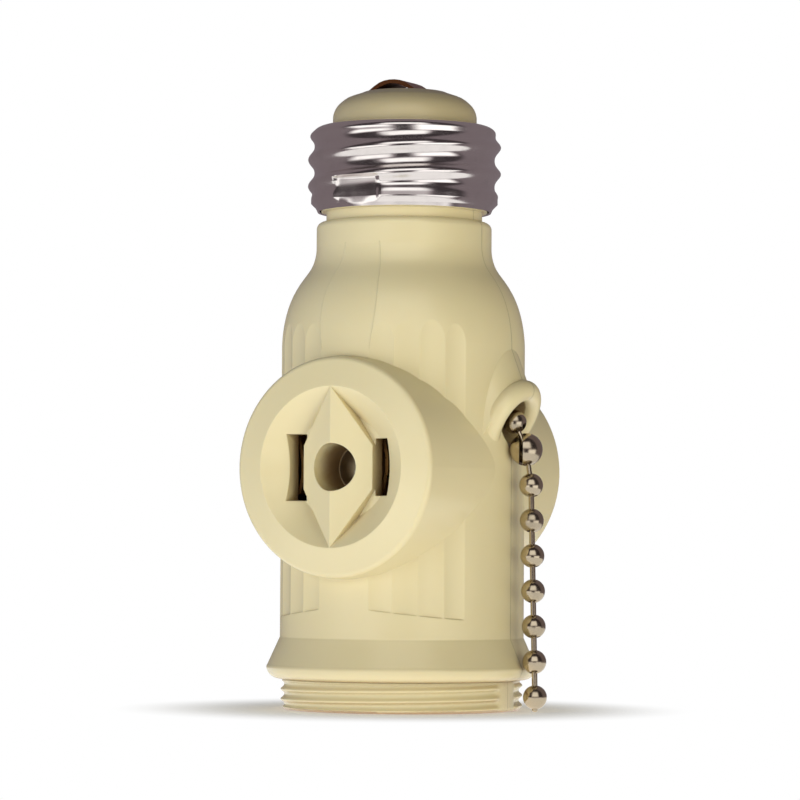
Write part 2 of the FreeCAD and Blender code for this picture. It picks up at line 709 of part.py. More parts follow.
def holder_rivets():
    one = rivet(0, HOLDER_RIVET_Y, SMALL_RIVET_R, SMALL_RIVET_HEAD_R, FLOOR_LOW_Z - SHELL_T, FLOOR_TOP_Z)
    return Part.makeCompound([one, at_rear(one)])


def tongue_rivet():
    low_z = FLOOR_LOW_Z - STRIP_T - TONGUE_T
    return rivet(TONGUE_RIVET_X, 0, TONGUE_RIVET_R, TONGUE_RIVET_HEAD_R, low_z, FLOOR_TOP_Z)


def tongue_rivet_hole():
    return rivet_hole(TONGUE_RIVET_X, 0, TONGUE_RIVET_R)


def lampholder_floor():
    """Insulating disc held in the groove of both halves."""
    solid = disc(CHAMBER_R + FLOOR_GROOVE - SEAT, FLOOR_LOW_Z, FLOOR_TOP_Z)
    gap = 2 * SEAT
    slots = []
    for x, low_y, high_y in (
        (LOAD_STRAP_X, LOAD_STRAP_LOW_Y, LOAD_STRAP_HIGH_Y),
        (HOLDER_STRAP_X, HOLDER_STRAP_LOW_Y, HOLDER_STRAP_HIGH_Y),
    ):
        slots.append(block((x - gap, low_y - gap, 0), (x + STRIP_T + gap, high_y + gap, FAR)))
    return one_solid(solid.cut(slots + [tongue_rivet_hole()] + holder_rivet_holes()))


def lamp_centre_contact():
    """Spring tongue that presses on the lamp's centre contact."""
    top = FLOOR_LOW_Z - STRIP_T
    anchor = [(TONGUE_RIVET_X + 2.2, top), (TONGUE_RIVET_X - 2.6, top)]
    path = anchor + [(0.9, top - 2.5), (-1.9, top - 2.7), (-3.6, top - 2.1)]
    solid = strip(path, -TONGUE_T, -TONGUE_HALF_WIDTH, TONGUE_HALF_WIDTH)
    return one_solid(solid.cut(tongue_rivet_hole()))


def load_strap():
    """Switched strip from the switch down through the floor to the lamp's centre contact."""
    run_z = SHELF_LOW_Z + BUS_T
    foot = [(LOAD_STRAP_X, FLOOR_LOW_Z), (TONGUE_RIVET_X - 2.2, FLOOR_LOW_Z)]
    path = [(BACK_WALL_X + 1.0, run_z), (LOAD_STRAP_X, run_z)] + foot
    solid = strip(path, -STRIP_T, LOAD_STRAP_LOW_Y, LOAD_STRAP_HIGH_Y)
    return one_solid(solid.cut(tongue_rivet_hole()))


def neutral_bus():
    low_z = SHELF_LOW_Z - BUS_T
    bar = plan_bar((-SLOT_U, -BUS_END_Y), (SLOT_U, BUS_END_Y), BUS_HALF_WIDTH, low_z, SHELF_LOW_Z)
    branch = plan_bar((0, 0), (SHELL_STRAP_X - 0.2, 0), SHELL_STRAP_HALF_Y, low_z, SHELF_LOW_Z)
    return one_solid(union([bar, branch]))


def hot_bus():
    high_z = FLOOR_TOP_Z + BUS_T
    corner = (-SLOT_U, BUS_END_Y - 1.0)
    bar = plan_bar((SLOT_U, 1.0 - BUS_END_Y), corner, BUS_HALF_WIDTH, FLOOR_TOP_Z, high_z)
    branch = plan_bar(corner, (RISER_X + 0.9, 3.6), 1.3, FLOOR_TOP_Z, high_z)
    return one_solid(union([bar, branch]))


def outlet_contact(up):
    """Sprung U of strip that grips one blade; the bridge is below when up is 1 and above when up is -1."""
    bridge_z = FLOOR_TOP_Z + BUS_T if up > 0 else SHELF_LOW_Z - BUS_T
    mouth = [(CONTACT_HALF_TIP, CONTACT_H), (CONTACT_HALF_GAP, CONTACT_H * 0.72)]
    root = [(CONTACT_HALF_WIDE, SPRING_T + 1.0), (CONTACT_HALF_WIDE, SPRING_T)]
    half = mouth + [(CONTACT_HALF_GAP, CONTACT_H * 0.5)] + root
    levels = [(-x, z) for x, z in half] + half[::-1]
    u = SLOT_U if up > 0 else -SLOT_U
    path = [(u + x, bridge_z + up * z) for x, z in levels]
    return strip(path, up * SPRING_T, -CONTACT_OUT_W, -CONTACT_IN_W)


def shell_strap():
    """Neutral strip up to the base shell, folded over the spigot's top edge."""
    foot_x = SHELL_STRAP_X + 2.0
    outside_x = -SPIGOT_R - SEAT
    path = [
        (foot_x, SHELF_LOW_Z),
        (SHELL_STRAP_X, SHELF_LOW_Z),
        (SHELL_STRAP_X, BODY_TOP_Z + 1.1),
        (SHELL_STRAP_NECK_X, NECK_LOW_Z - 3.8),
        (SHELL_STRAP_NECK_X, SPIGOT_TOP_Z),
        (outside_x, SPIGOT_TOP_Z),
        (outside_x, SPIGOT_TOP_Z - 3.0),
    ]
    return strip(path, STRIP_T, -SHELL_STRAP_HALF_Y, SHELL_STRAP_HALF_Y)


def lamp_shell_strap():
    """Neutral strip from the bus down through the floor to the lampholder shell's flange."""
    top = SHELF_LOW_Z + STRIP_T
    path = [(3.0, top), (HOLDER_STRAP_X + STRIP_T, top), (HOLDER_STRAP_X + STRIP_T, FLOOR_LOW_Z)]
    return strip(path, STRIP_T, HOLDER_STRAP_LOW_Y, HOLDER_STRAP_HIGH_Y)


def hot_riser():
    """Unswitched strip from the hot bus up to the switch's line terminal."""
    foot_z = FLOOR_TOP_Z + BUS_T
    bend_z = BODY_TOP_Z + 3.4
    terminal_z = BACK_WALL_TOP_Z + STRIP_T
    path = [
        (RISER_X + 2.4, foot_z),
        (RISER_X, foot_z),
        (RISER_X, bend_z),
        (BACK_WALL_X - 1.4, terminal_z),
        (BACK_WALL_X + 3.0, terminal_z),
    ]
    return strip(path, STRIP_T, RISER_LOW_Y, RISER_HIGH_Y)


def around_axle(radius, angle):
    turn = math.radians(angle)
    return (AXLE_X + radius * math.cos(turn), AXLE_Z + radius * math.sin(turn))


def brush(wall_points, side):
    """A fixed contact on the back wall whose end rides beside the rotor's plate."""
    clear = ROTOR_PLATE_R + BRUSH_GAP
    tip = [around_axle(clear + 0.5, 180 - side * 34), around_axle(clear + 0.05, 180 - side * 14)]
    return strip(wall_points + tip, side * STRIP_T, LOAD_STRAP_LOW_Y, BRUSH_HIGH_Y)


def line_contact():
    face_x = BACK_WALL_X + BACK_WALL_T + STRIP_T
    top = BACK_WALL_TOP_Z + STRIP_T
    return brush([(BACK_WALL_X, top), (face_x, top), (face_x, AXLE_Z + 4.6)], 1)


def load_contact():
    face_x = BACK_WALL_X + BACK_WALL_T + STRIP_T
    foot = SHELF_LOW_Z + BUS_T + STRIP_T
    return brush([(face_x, foot), (face_x, AXLE_Z - 4.6)], -1)


def switch_base():
    """Moulded switch floor with two cheeks for the axle and a back wall for the contacts."""
    floor = disc(CHAMBER_R - SEAT, SHELF_TOP_Z, SWITCH_FLOOR_TOP_Z)
    low = SWITCH_FLOOR_TOP_Z - SWITCH_FLOOR_H / 2
    foot_low_x = AXLE_X - 6.9
    top = [(AXLE_X + 2.8, CHEEK_TOP_Z), (AXLE_X - 2.8, CHEEK_TOP_Z)]
    outline = [(foot_low_x, low), (AXLE_X + 5.6, low)] + top + [(foot_low_x, low)]
    cheeks = []
    for y in (-CHEEK_IN_Y - CHEEK_T, CHEEK_IN_Y):
        face = Part.Face(Part.makePolygon([V(x, y, z) for x, z in outline]))
        cheeks.append(face.extrude(V(0, CHEEK_T, 0)))
    face_x = BACK_WALL_X + BACK_WALL_T
    wall = block((BACK_WALL_X, -BACK_WALL_HALF_Y, low), (face_x, BACK_WALL_HALF_Y, BACK_WALL_TOP_Z))
    solid = union([floor, wall] + cheeks)
    gap = 3 * SEAT
    strap_end_x = SHELL_STRAP_X + STRIP_T + gap
    strap_notch = block((-FAR, -SHELL_STRAP_HALF_Y - gap, 0), (strap_end_x, RISER_HIGH_Y + gap, FAR))
    chain_notch = block((CHAMBER_R - 2.2, -BEAD_R - 1.5, 0), (FAR, BEAD_R + 1.5, FAR))
    slot_high = (face_x + STRIP_T + gap, BRUSH_HIGH_Y + gap, SWITCH_FLOOR_TOP_Z + gap)
    contact_slot = block((face_x, LOAD_STRAP_LOW_Y - gap, 0), slot_high)
    bore = rod(V(AXLE_X, -FAR, AXLE_Z), V(AXLE_X, FAR, AXLE_Z), AXLE_R + RUNNING)
    return one_solid(solid.cut([strap_notch, chain_notch, contact_slot, bore]))


def on_axle(shape, angle=0.0):
    """Moves a shape built round the origin's Y axis onto the switch axle, its arm raised by angle."""
    shape.rotate(ORIGIN, Y_AXIS, -angle)
    shape.translate(V(AXLE_X, 0, AXLE_Z))
    return shape


def y_rod(radius, low_y, high_y):
    return rod(V(0, low_y, 0), V(0, high_y, 0), radius)


def switch_axle():
    outer = CHEEK_IN_Y + CHEEK_T
    head = y_rod(AXLE_HEAD_R, -outer - AXLE_HEAD_H, -outer)
    peened = y_rod(AXLE_HEAD_R - 0.4, outer, outer + AXLE_HEAD_H / 2)
    return on_axle(one_solid(union([y_rod(AXLE_R, -outer, outer), head, peened])))


def pull_lever():
    """Stirrup on the axle, its forked end straddling the chain."""
    plates = []
    for y in (-LEVER_OUT_Y, LEVER_OUT_Y - LEVER_T):
        plates.append(y_rod(LEVER_EYE_R, y, y + LEVER_T))
        plates.append(block((0, y, -LEVER_HALF_HEIGHT), (PLATE_R, y + LEVER_T, LEVER_HALF_HEIGHT)))
    bridge = block((FORK_ROOT_R, -LEVER_OUT_Y, -FORK_T / 2), (PLATE_R, LEVER_OUT_Y, FORK_T / 2))
    prongs = block((PLATE_R - 0.5, -FORK_TIP_HALF, -FORK_T / 2), (FORK_TIP_R, FORK_TIP_HALF, FORK_T / 2))
    slot = block((FORK_SLOT_R, -FORK_SLOT_HALF, -1), (FORK_TIP_R + 1, FORK_SLOT_HALF, 1))
    solid = union(plates + [bridge, prongs]).cut([slot, y_rod(AXLE_R + RUNNING, -FAR, FAR)])
    return on_axle(one_solid(solid), ARM_REST_ANGLE)


def ratchet_rotor():
    """Insulating drum with saw teeth on one side and spacer hubs."""
    points = []
    for i in range(RATCHET_TEETH):
        for radius, share in ((RATCHET_ROOT_R, 0.0), (ROTOR_R, 0.98)):
            turn = 2 * math.pi * (i + share) / RATCHET_TEETH
            points.append(V(radius * math.cos(turn), 0, radius * math.sin(turn)))
    teeth_low = ROTOR_HALF_T - RATCHET_TOOTH_T
    face = Part.Face(Part.makePolygon(points + points[:1]))
    teeth = face.extrude(V(0, ROTOR_HALF_T - teeth_low, 0))
    teeth.translate(V(0, teeth_low, 0))
    hub_y = LEVER_OUT_Y - LEVER_T - SEAT
    solid = union([y_rod(ROTOR_R - 0.4, -ROTOR_HALF_T, teeth_low), teeth, y_rod(HUB_R, -hub_y, hub_y)])
    return on_axle(one_solid(solid.cut(y_rod(AXLE_R + RUNNING, -FAR, FAR))))


def rotor_contact():
    """Brass plate with a lobe for every second ratchet step."""
    low_y = -ROTOR_HALF_T - ROTOR_PLATE_T
    solid = y_rod(RATCHET_ROOT_R, low_y, -ROTOR_HALF_T)
    lobes = []
    for i in range(RATCHET_TEETH // 2):
        lobe = block((0, low_y, -LOBE_HALF_WIDTH), (ROTOR_PLATE_R - 0.15, -ROTOR_HALF_T, LOBE_HALF_WIDTH))
        lobe.rotate(ORIGIN, Y_AXIS, 360.0 / RATCHET_TEETH * (2 * i + 0.5))
        lobes.append(lobe)
    plate = union([solid] + lobes).cut(y_rod(HUB_R + SEAT, -FAR, FAR))
    return on_axle(one_solid(plate))


def flat(direction):
    """A direction laid into the XZ plane."""
    return V(direction.x, 0, direction.z).normalize()


def return_spring():
    """Torsion spring beside the rotor; one leg bears on the lever, the other on the switch floor."""
    pitch = 2.5 * SPRING_WIRE_R
    low_y = ROTOR_HALF_T + SPRING_WIRE_R + SEAT
    helix = Part.makeHelix(pitch, SPRING_TURNS * pitch, SPRING_COIL_R)
    helix.rotate(ORIGIN, X_AXIS, -90)
    helix.translate(V(0, low_y, 0))
    first = helix.Edges[0]
    start = first.valueAt(first.FirstParameter)
    end_edge = helix.Edges[-1]
    end = end_edge.valueAt(end_edge.LastParameter)
    tangent = flat(first.tangentAt(first.FirstParameter))
    end_tangent = flat(end_edge.tangentAt(end_edge.LastParameter))
    leg_end = start - tangent * SPRING_LEG
    leg = Part.makeLine(leg_end, start)
    tail = Part.makeLine(end, end + end_tangent * SPRING_TAIL)
    path = Part.Wire([leg] + helix.Edges + [tail])
    across = tangent.cross(Y_AXIS)
    signs = ((1, 1), (-1, 1), (-1, -1), (1, -1))
    corners = [leg_end + (Y_AXIS * a + across * b) * SPRING_WIRE_R for a, b in signs]
    section = Part.makePolygon(corners + corners[:1])
    return on_axle(one_solid(path.makePipeShell([section], True, True)))


def bead_points():
    """Centres of the outer beads, the lowest first place given by LOWEST_BEAD_Z."""
    low = V(HANG_LOW_X, 0, LOWEST_BEAD_Z)
    return [HANG_TOP + (low - HANG_TOP) * (i / (OUTER_BEADS - 1)) for i in range(OUTER_BEADS)]


def hollow_ball(centre, radius, wall, cutters):
    outer = Part.makeSphere(radius, centre)
    return one_solid(outer.cut([Part.makeSphere(radius - wall, centre)] + cutters))


def wire_hole(centre, direction):
    return rod(centre, centre + direction * (2 * COUPLING_R), WIRE_R + SEAT)


def swing_slot(centre, direction, axis, low, high):
    """Slot that lets a wire swing about axis from low to high degrees."""
    half = axis * (WIRE_R + 0.8 * SEAT)
    reach = direction * (2 * COUPLING_R)
    corners = [centre - half, centre - half + reach, centre + half + reach, centre + half]
    face = Part.Face(Part.makePolygon(corners + corners[:1]))
    face.rotate(centre, axis, low)
    ends = []
    for angle in (low, high):
        hole = wire_hole(centre, direction)
        hole.rotate(centre, axis, angle)
        ends.append(hole)
    return [face.revolve(centre, axis, high - low)] + ends


def knob_outline(low, high):
    """Outline of a wire between two turned knobs, as (radius, distance along the wire)."""
    chamfer = 0.45 * KNOB_R
    return [
        (KNOB_R - chamfer, low - KNOB_R),
        (KNOB_R, low - KNOB_R + chamfer),
        (KNOB_R, low),
        (WIRE_R, low + chamfer),
        (WIRE_R, high - chamfer),
        (KNOB_R, high),
        (KNOB_R, high + KNOB_R - chamfer),
        (KNOB_R - chamfer, high + KNOB_R),
        (0, high + KNOB_R),
    ]


def link(upper, lower):
    """Dumb-bell link whose knobs sit inside the two beads that it joins."""
    along = lower - upper
    reach = along.Length - KNOB_OFFSET
    solid = turned((0, KNOB_OFFSET - KNOB_R), knob_outline(KNOB_OFFSET, reach))
    solid.rotate(ORIGIN, Y_AXIS, math.degrees(math.atan2(along.x, along.z)))
    solid.translate(upper)
    return solid


def swing_of(i):
    """Axis and range of the joint above outer bead i: side to side when i is even, outward when odd."""
    if i % 2 == 0:
        return X_AXIS, -BEND_SIDE, BEND_SIDE
    return Y_AXIS * -1, 0.0, BEND_OUT


def chain_parts():
    """Every piece of the bead chain, as a dictionary of names and shapes."""
    parts = {}
    inner = [MOUTH_BEAD - PULL_DIR * (BEAD_PITCH * i) for i in range(5)]
    outward = Y_AXIS * -1
    swing_room = swing_slot(inner[0], PULL_DIR, outward, 0, SWING_OUT)
    beads = [hollow_ball(inner[0], BEAD_R, BEAD_WALL, [wire_hole(inner[0], PULL_DIR * -1)] + swing_room)]
    for i, centre in enumerate(inner[1:], 1):
        holes = [wire_hole(centre, PULL_DIR)]
        if i < len(inner) - 1:
            holes.append(wire_hole(centre, PULL_DIR * -1))
        beads.append(hollow_ball(centre, BEAD_R, BEAD_WALL, holes))
    parts["inner_beads"] = Part.makeCompound(beads)
    parts["inner_links"] = Part.makeCompound([link(a, b) for a, b in zip(inner[1:], inner)])
    coupling_at = MOUTH_BEAD + PULL_DIR * COUPLING_STEP
    places = [coupling_at] + bead_points()
    parts["coupling_link"] = link(MOUTH_BEAD, coupling_at)
    first_down = (places[1] - coupling_at).normalize()
    half_slit = COUPLING_SLIT / 2
    slit_low = (COUPLING_SLIT_X - half_slit, -COUPLING_R - 1, -COUPLING_R - 1)
    slit = block(slit_low, (COUPLING_SLIT_X + half_slit, 2 * SEAT, COUPLING_R + 1))
    slit.rotate(ORIGIN, Z_AXIS, COUPLING_SLIT_TURN)
    slit.translate(coupling_at)
    holes = [wire_hole(coupling_at, PULL_DIR * -1), slit] + swing_slot(coupling_at, first_down, *swing_of(0))
    parts["chain_coupling"] = hollow_ball(coupling_at, COUPLING_R, COUPLING_WALL, holes)
    for i, centre in enumerate(places[1:]):
        above = (places[i] - centre).normalize()
        parts["link_%d" % (i + 1)] = link(places[i], centre)
        holes = [wire_hole(centre, above)]
        if i < OUTER_BEADS - 1:
            below = (places[i + 2] - centre).normalize()
            holes += swing_slot(centre, below, *swing_of(i + 1))
        else:
            holes.append(wire_hole(centre, Z_AXIS * -1))
        parts["bead_%d" % (i + 1)] = hollow_ball(centre, BEAD_R, BEAD_WALL, holes)
    last = places[-1]
    reach = BEAD_R + END_STUB
    tail = knob_outline(KNOB_OFFSET, reach)[:4]
    tail += [(WIRE_R, reach - WIRE_R / 2), (WIRE_R / 2, reach), (0, reach)]
    parts["end_link"] = turned((0, KNOB_OFFSET - KNOB_R), tail)
    parts["end_link"].rotate(ORIGIN, Y_AXIS, 180)
    parts["end_link"].translate(last)
    return parts


def main():
    os.makedirs("parts", exist_ok=True)
    whole = whole_housing()
    parts = {
        "front_housing": housing_half(whole, True),
        "rear_housing": housing_half(whole, False),
        "housing_rivet": housing_rivet(),
        "base_screw_shell": base_screw_shell(),
        "base_insulator": base_insulator(),
        "base_contact": base_contact(),
        "lampholder_shell": lampholder_shell(),
        "lampholder_floor": lampholder_floor(),
        "holder_rivets": holder_rivets(),
        "lamp_centre_contact": lamp_centre_contact(),
        "tongue_rivet": tongue_rivet(),
        "front_neutral_contact": outlet_contact(-1),
        "rear_neutral_contact": at_rear(outlet_contact(-1)),
        "front_hot_contact": outlet_contact(1),
        "rear_hot_contact": at_rear(outlet_contact(1)),
        "neutral_bus": neutral_bus(),
        "hot_bus": hot_bus(),
        "shell_strap": shell_strap(),
        "lamp_shell_strap": lamp_shell_strap(),
        "hot_riser": hot_riser(),
        "load_strap": load_strap(),
        "switch_base": switch_base(),
        "switch_axle": switch_axle(),
        "pull_lever": pull_lever(),
        "ratchet_rotor": ratchet_rotor(),
        "rotor_contact": rotor_contact(),
        "return_spring": return_spring(),
        "line_contact": line_contact(),
        "load_contact": load_contact(),
    }
    parts.update(chain_parts())
    for name, shape in parts.items():
        shape.exportStep(os.path.join("parts", name + ".step"))
    return parts


if __name__ == "__main__":
    main()
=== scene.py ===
"""Dresses the lamp socket adapter: ivory mouldings, plated screw shells, a ball chain and a studio.

Metres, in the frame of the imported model: the origin is the centre of the lampholder's mouth, +Z runs
up to the screw base, the front outlet faces -Y and the pull chain hangs on the +X side.
"""

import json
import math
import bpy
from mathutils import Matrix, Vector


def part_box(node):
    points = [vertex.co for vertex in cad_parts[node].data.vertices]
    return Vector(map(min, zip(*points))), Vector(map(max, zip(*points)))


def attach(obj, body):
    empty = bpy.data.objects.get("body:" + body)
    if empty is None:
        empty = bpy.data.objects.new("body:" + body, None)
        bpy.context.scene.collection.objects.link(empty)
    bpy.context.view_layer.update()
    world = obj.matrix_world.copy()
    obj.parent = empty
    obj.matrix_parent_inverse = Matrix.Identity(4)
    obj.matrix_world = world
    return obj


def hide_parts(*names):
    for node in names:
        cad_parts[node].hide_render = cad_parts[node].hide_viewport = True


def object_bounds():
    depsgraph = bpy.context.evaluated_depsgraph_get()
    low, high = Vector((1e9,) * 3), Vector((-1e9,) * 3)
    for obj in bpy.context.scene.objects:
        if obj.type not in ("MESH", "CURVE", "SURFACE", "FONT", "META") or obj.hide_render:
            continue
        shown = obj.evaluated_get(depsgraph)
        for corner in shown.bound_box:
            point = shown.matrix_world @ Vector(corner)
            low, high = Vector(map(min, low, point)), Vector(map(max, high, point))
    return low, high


bl_info = {
    "name": "Lamp Socket Adapter",
    "version": (1, 0, 0),
    "blender": (4, 5, 0),
    "location": "3D View > Sidebar > Adapter",
    "description": "Builds the finish, the threads, the chain and the studio of a lamp socket adapter",
    "category": "Add Mesh",
}

import bpy
import numpy as np
from bpy.props import FloatProperty, FloatVectorProperty, IntProperty, PointerProperty
from mathutils import Matrix, Vector
from mathutils.bvhtree import BVHTree

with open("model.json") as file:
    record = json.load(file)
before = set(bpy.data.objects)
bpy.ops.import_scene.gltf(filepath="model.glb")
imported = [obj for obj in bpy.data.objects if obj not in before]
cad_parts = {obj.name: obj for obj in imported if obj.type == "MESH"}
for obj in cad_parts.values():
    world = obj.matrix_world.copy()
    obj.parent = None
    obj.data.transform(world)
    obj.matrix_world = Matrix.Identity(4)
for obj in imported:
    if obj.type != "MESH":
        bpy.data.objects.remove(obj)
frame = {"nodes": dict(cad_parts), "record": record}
CAD_LOW, CAD_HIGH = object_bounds()

MM = 0.001
AXIS_UP = Vector((0.0, 0.0, 1.0))
HOLDER_COLUMNS = 160
RING_COLUMNS = 240
SHELL_LOW, SHELL_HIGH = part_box("base_screw_shell")
CAP_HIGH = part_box("base_insulator")[1]
HOLDER_LOW, HOLDER_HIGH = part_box("lampholder_shell")
FLOOR_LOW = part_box("lampholder_floor")[0]


def linear(red, green, blue):
    """Linear colour of a display colour that is given from 0 to 255."""

    def channel(value):
        value /= 255
        return value / 12.92 if value <= 0.04045 else ((value + 0.055) / 1.055) ** 2.4

    return channel(red), channel(green), channel(blue)


def colour_property(name, description, default):
    limits = {"subtype": "COLOR", "size": 3, "min": 0, "max": 1}
    return FloatVectorProperty(name=name, description=description, default=default, **limits)


def length_property(name, description, default):
    return FloatProperty(name=name, description=description, unit="LENGTH", precision=5, default=default)


def level_property(name, description, default):
    return FloatProperty(name=name, description=description, default=default)


def angle_property(name, description, degrees):
    return FloatProperty(name=name, description=description, subtype="ANGLE", default=math.radians(degrees))


class FinishSettings(bpy.types.PropertyGroup):
    ivory: colour_property("Ivory", "Colour of the moulded halves", linear(227, 214, 173))
    ivory_shade: colour_property("Ivory shade", "Darker tone of the moulded halves", linear(219, 203, 158))
    ivory_roughness: level_property("Ivory roughness", "Gloss of the mouldings", 0.24)
    # Painted shade: the cap is a darker copy of the ivory, for its crown that faces up.
    cap: colour_property("Cap", "Colour of the insulating cap", linear(198, 183, 145))
    nickel: colour_property("Nickel", "Plating of the screw shells", linear(232, 225, 221))
    chain: colour_property("Chain", "Plating of the ball chain", linear(188, 174, 150))
    brass: colour_property("Brass", "Contacts and straps", linear(222, 180, 110))
    brass_tarnish: colour_property("Tarnish", "Darker patches on the brass", linear(150, 96, 60))
    # Painted shade: the dark brown that the centre contact takes in patches, for the shadow under its arch.
    painted_shade_brass: colour_property("Old brass", "Brown skin on the centre contact", linear(62, 38, 26))
    phenolic: colour_property("Phenolic", "Switch parts and the fibre floor", linear(74, 50, 36))
    steel: colour_property("Steel", "Rivets, axle and spring", linear(190, 186, 178))


class ShellSettings(bpy.types.PropertyGroup):
    radius: length_property("Mean radius", "Mean radius of the rolled thread", 12.7 * MM)
    rim_radius: length_property("Rim radius", "Lower rim of the shell", 11.8 * MM)
    top_hole: length_property("Top hole", "Radius of the hole round the cap", 10.0 * MM)
    pitch: length_property("Pitch", "Pitch of the medium screw thread", 3.629 * MM)
    depth: length_property("Depth", "Half the height of the rolled wave", 0.43 * MM)
    crest: length_property("Crest height", "Height of one crest on the +X side", 72.35 * MM)
    gauge: length_property("Gauge", "Thickness of the sheet", 0.3 * MM)
    stake_angle: angle_property("Stake angle", "Where the staked dimple is, about Z", -93)
    stake_width: length_property("Stake width", "Width of the staked dimple", 7.2 * MM)
    stake_height: length_property("Stake height", "Height of the staked dimple", 4.2 * MM)
    stake_depth: length_property("Stake depth", "Depth of the staked dimple", 0.75 * MM)
    columns: IntProperty(name="Columns", description="Faces round each shell", default=224)


class RingThreadSettings(bpy.types.PropertyGroup):
    radius: length_property("Radius", "Mean radius of the shade-ring thread", 16.35 * MM)
    depth: length_property("Depth", "Half the depth of the thread", 0.24 * MM)
    pitch: length_property("Pitch", "Pitch of the thread", 1.34 * MM)
    height: length_property("Height", "Height of the threaded band", 4.05 * MM)
    crest: length_property("Crest height", "Height of one crest on the +X side", 0.55 * MM)
    flat: angle_property("Flat", "Half the angle left plain at each parting line", 7)


class CapSettings(bpy.types.PropertyGroup):
    settle: length_property("Settle", "How far the cap's crown settles", 0.62 * MM)
    bend_z: length_property("Bend", "Height over which the crown settles", 82.5 * MM)
    arch_kept: length_property("Arch kept", "Part of that which the contact's arch keeps", 0.5 * MM)


class StudioSettings(bpy.types.PropertyGroup):
    azimuth: angle_property("Azimuth", "Camera's angle round the adapter", 28.5)
    distance: length_property("Distance", "Camera's distance from the Z axis", 475 * MM)
    height: length_property("Height", "Camera's height over the floor", 21.5 * MM)
    aim_height: length_property("Aim height", "Height that the camera looks at", 41.85 * MM)
    aim_side: length_property("Aim side", "How far left of the axis the camera looks", 0.43 * MM)
    roll: angle_property("Roll", "Camera's roll", 0.35)
    lens: level_property("Lens", "Focal length in millimetres", 157.5)
    left_power: level_property("Left lamp", "Power of the left soft box in watts", 1.95)
    left_tint: colour_property("Left tint", "Colour of the left soft box", (0.88, 0.93, 1.0))
    right_power: level_property("Right lamp", "Power of the right soft box in watts", 1.4)
    right_tint: colour_property("Right tint", "Colour of the right soft box", (1.0, 0.95, 0.7))
    floor_radius: length_property("Floor", "Radius of the floor", 90 * MM)
    floor_glow: level_property("Light table", "Light that comes up from the floor", 0.8)
    room_level: level_property("Room", "Brightness of the room", 0.72)
    room_top: level_property("Room overhead", "Brightness of the room overhead", 0.02)


GROUPS = (FinishSettings, ShellSettings, RingThreadSettings, CapSettings, StudioSettings)
GROUP_NAMES = ("adapter_finish", "adapter_shell", "adapter_ring", "adapter_cap", "adapter_studio")


class NodeGraph:
    """Short-hand for a node tree: add makes a node and wires or sets its inputs."""

    def __init__(self, tree):
        self.tree = tree
        tree.nodes.clear()

    def add(self, kind, inputs=None, **settings):
        node = self.tree.nodes.new(kind)
        for key, value in settings.items():
            setattr(node, key, value)
        for key, value in (inputs or {}).items():
            socket = node.inputs[key]
            if isinstance(value, bpy.types.NodeSocket):
                self.tree.links.new(value, socket)
            elif isinstance(value, bpy.types.Node):
                self.tree.links.new(value.outputs[0], socket)
            else:
                socket.default_value = value
        return node

    def math(self, operation, first, second=0.0, third=0.0):
        values = {0: first, 1: second}
        if operation in ("MULTIPLY_ADD", "SMOOTH_MIN", "SMOOTH_MAX", "WRAP"):
            values[2] = third
        return self.add("ShaderNodeMath", values, operation=operation).outputs[0]

    def ramp(self, value, low, high, to_low=0.0, to_high=1.0):
        inputs = {"Value": value, "From Min": low, "From Max": high, "To Min": to_low, "To Max": to_high}
        return self.add("ShaderNodeMapRange", inputs, interpolation_type="SMOOTHSTEP").outputs[0]

    def mix(self, factor, first, second):
        node = self.add("ShaderNodeMix", data_type="RGBA")
        for socket, value in ((node.inputs[0], factor), (node.inputs[6], first), (node.inputs[7], second)):
            if isinstance(value, bpy.types.NodeSocket):
                self.tree.links.new(value, socket)
            else:
                socket.default_value = value if socket is node.inputs[0] else (*value, 1.0)[:4]
        return node.outputs[2]

    def noise(self, vector, scale, detail=3.0, roughness=0.55):
        inputs = {"Vector": vector, "Scale": scale, "Detail": detail, "Roughness": roughness}
        return self.add("ShaderNodeTexNoise", inputs).outputs[0]


def new_material(name):
    material = bpy.data.materials.new(name)
    material.use_nodes = True
    return material, NodeGraph(material.node_tree)


def finish_surface(graph, shader_inputs):
    shader = graph.add("ShaderNodeBsdfPrincipled", shader_inputs)
    graph.add("ShaderNodeOutputMaterial", {"Surface": shader})


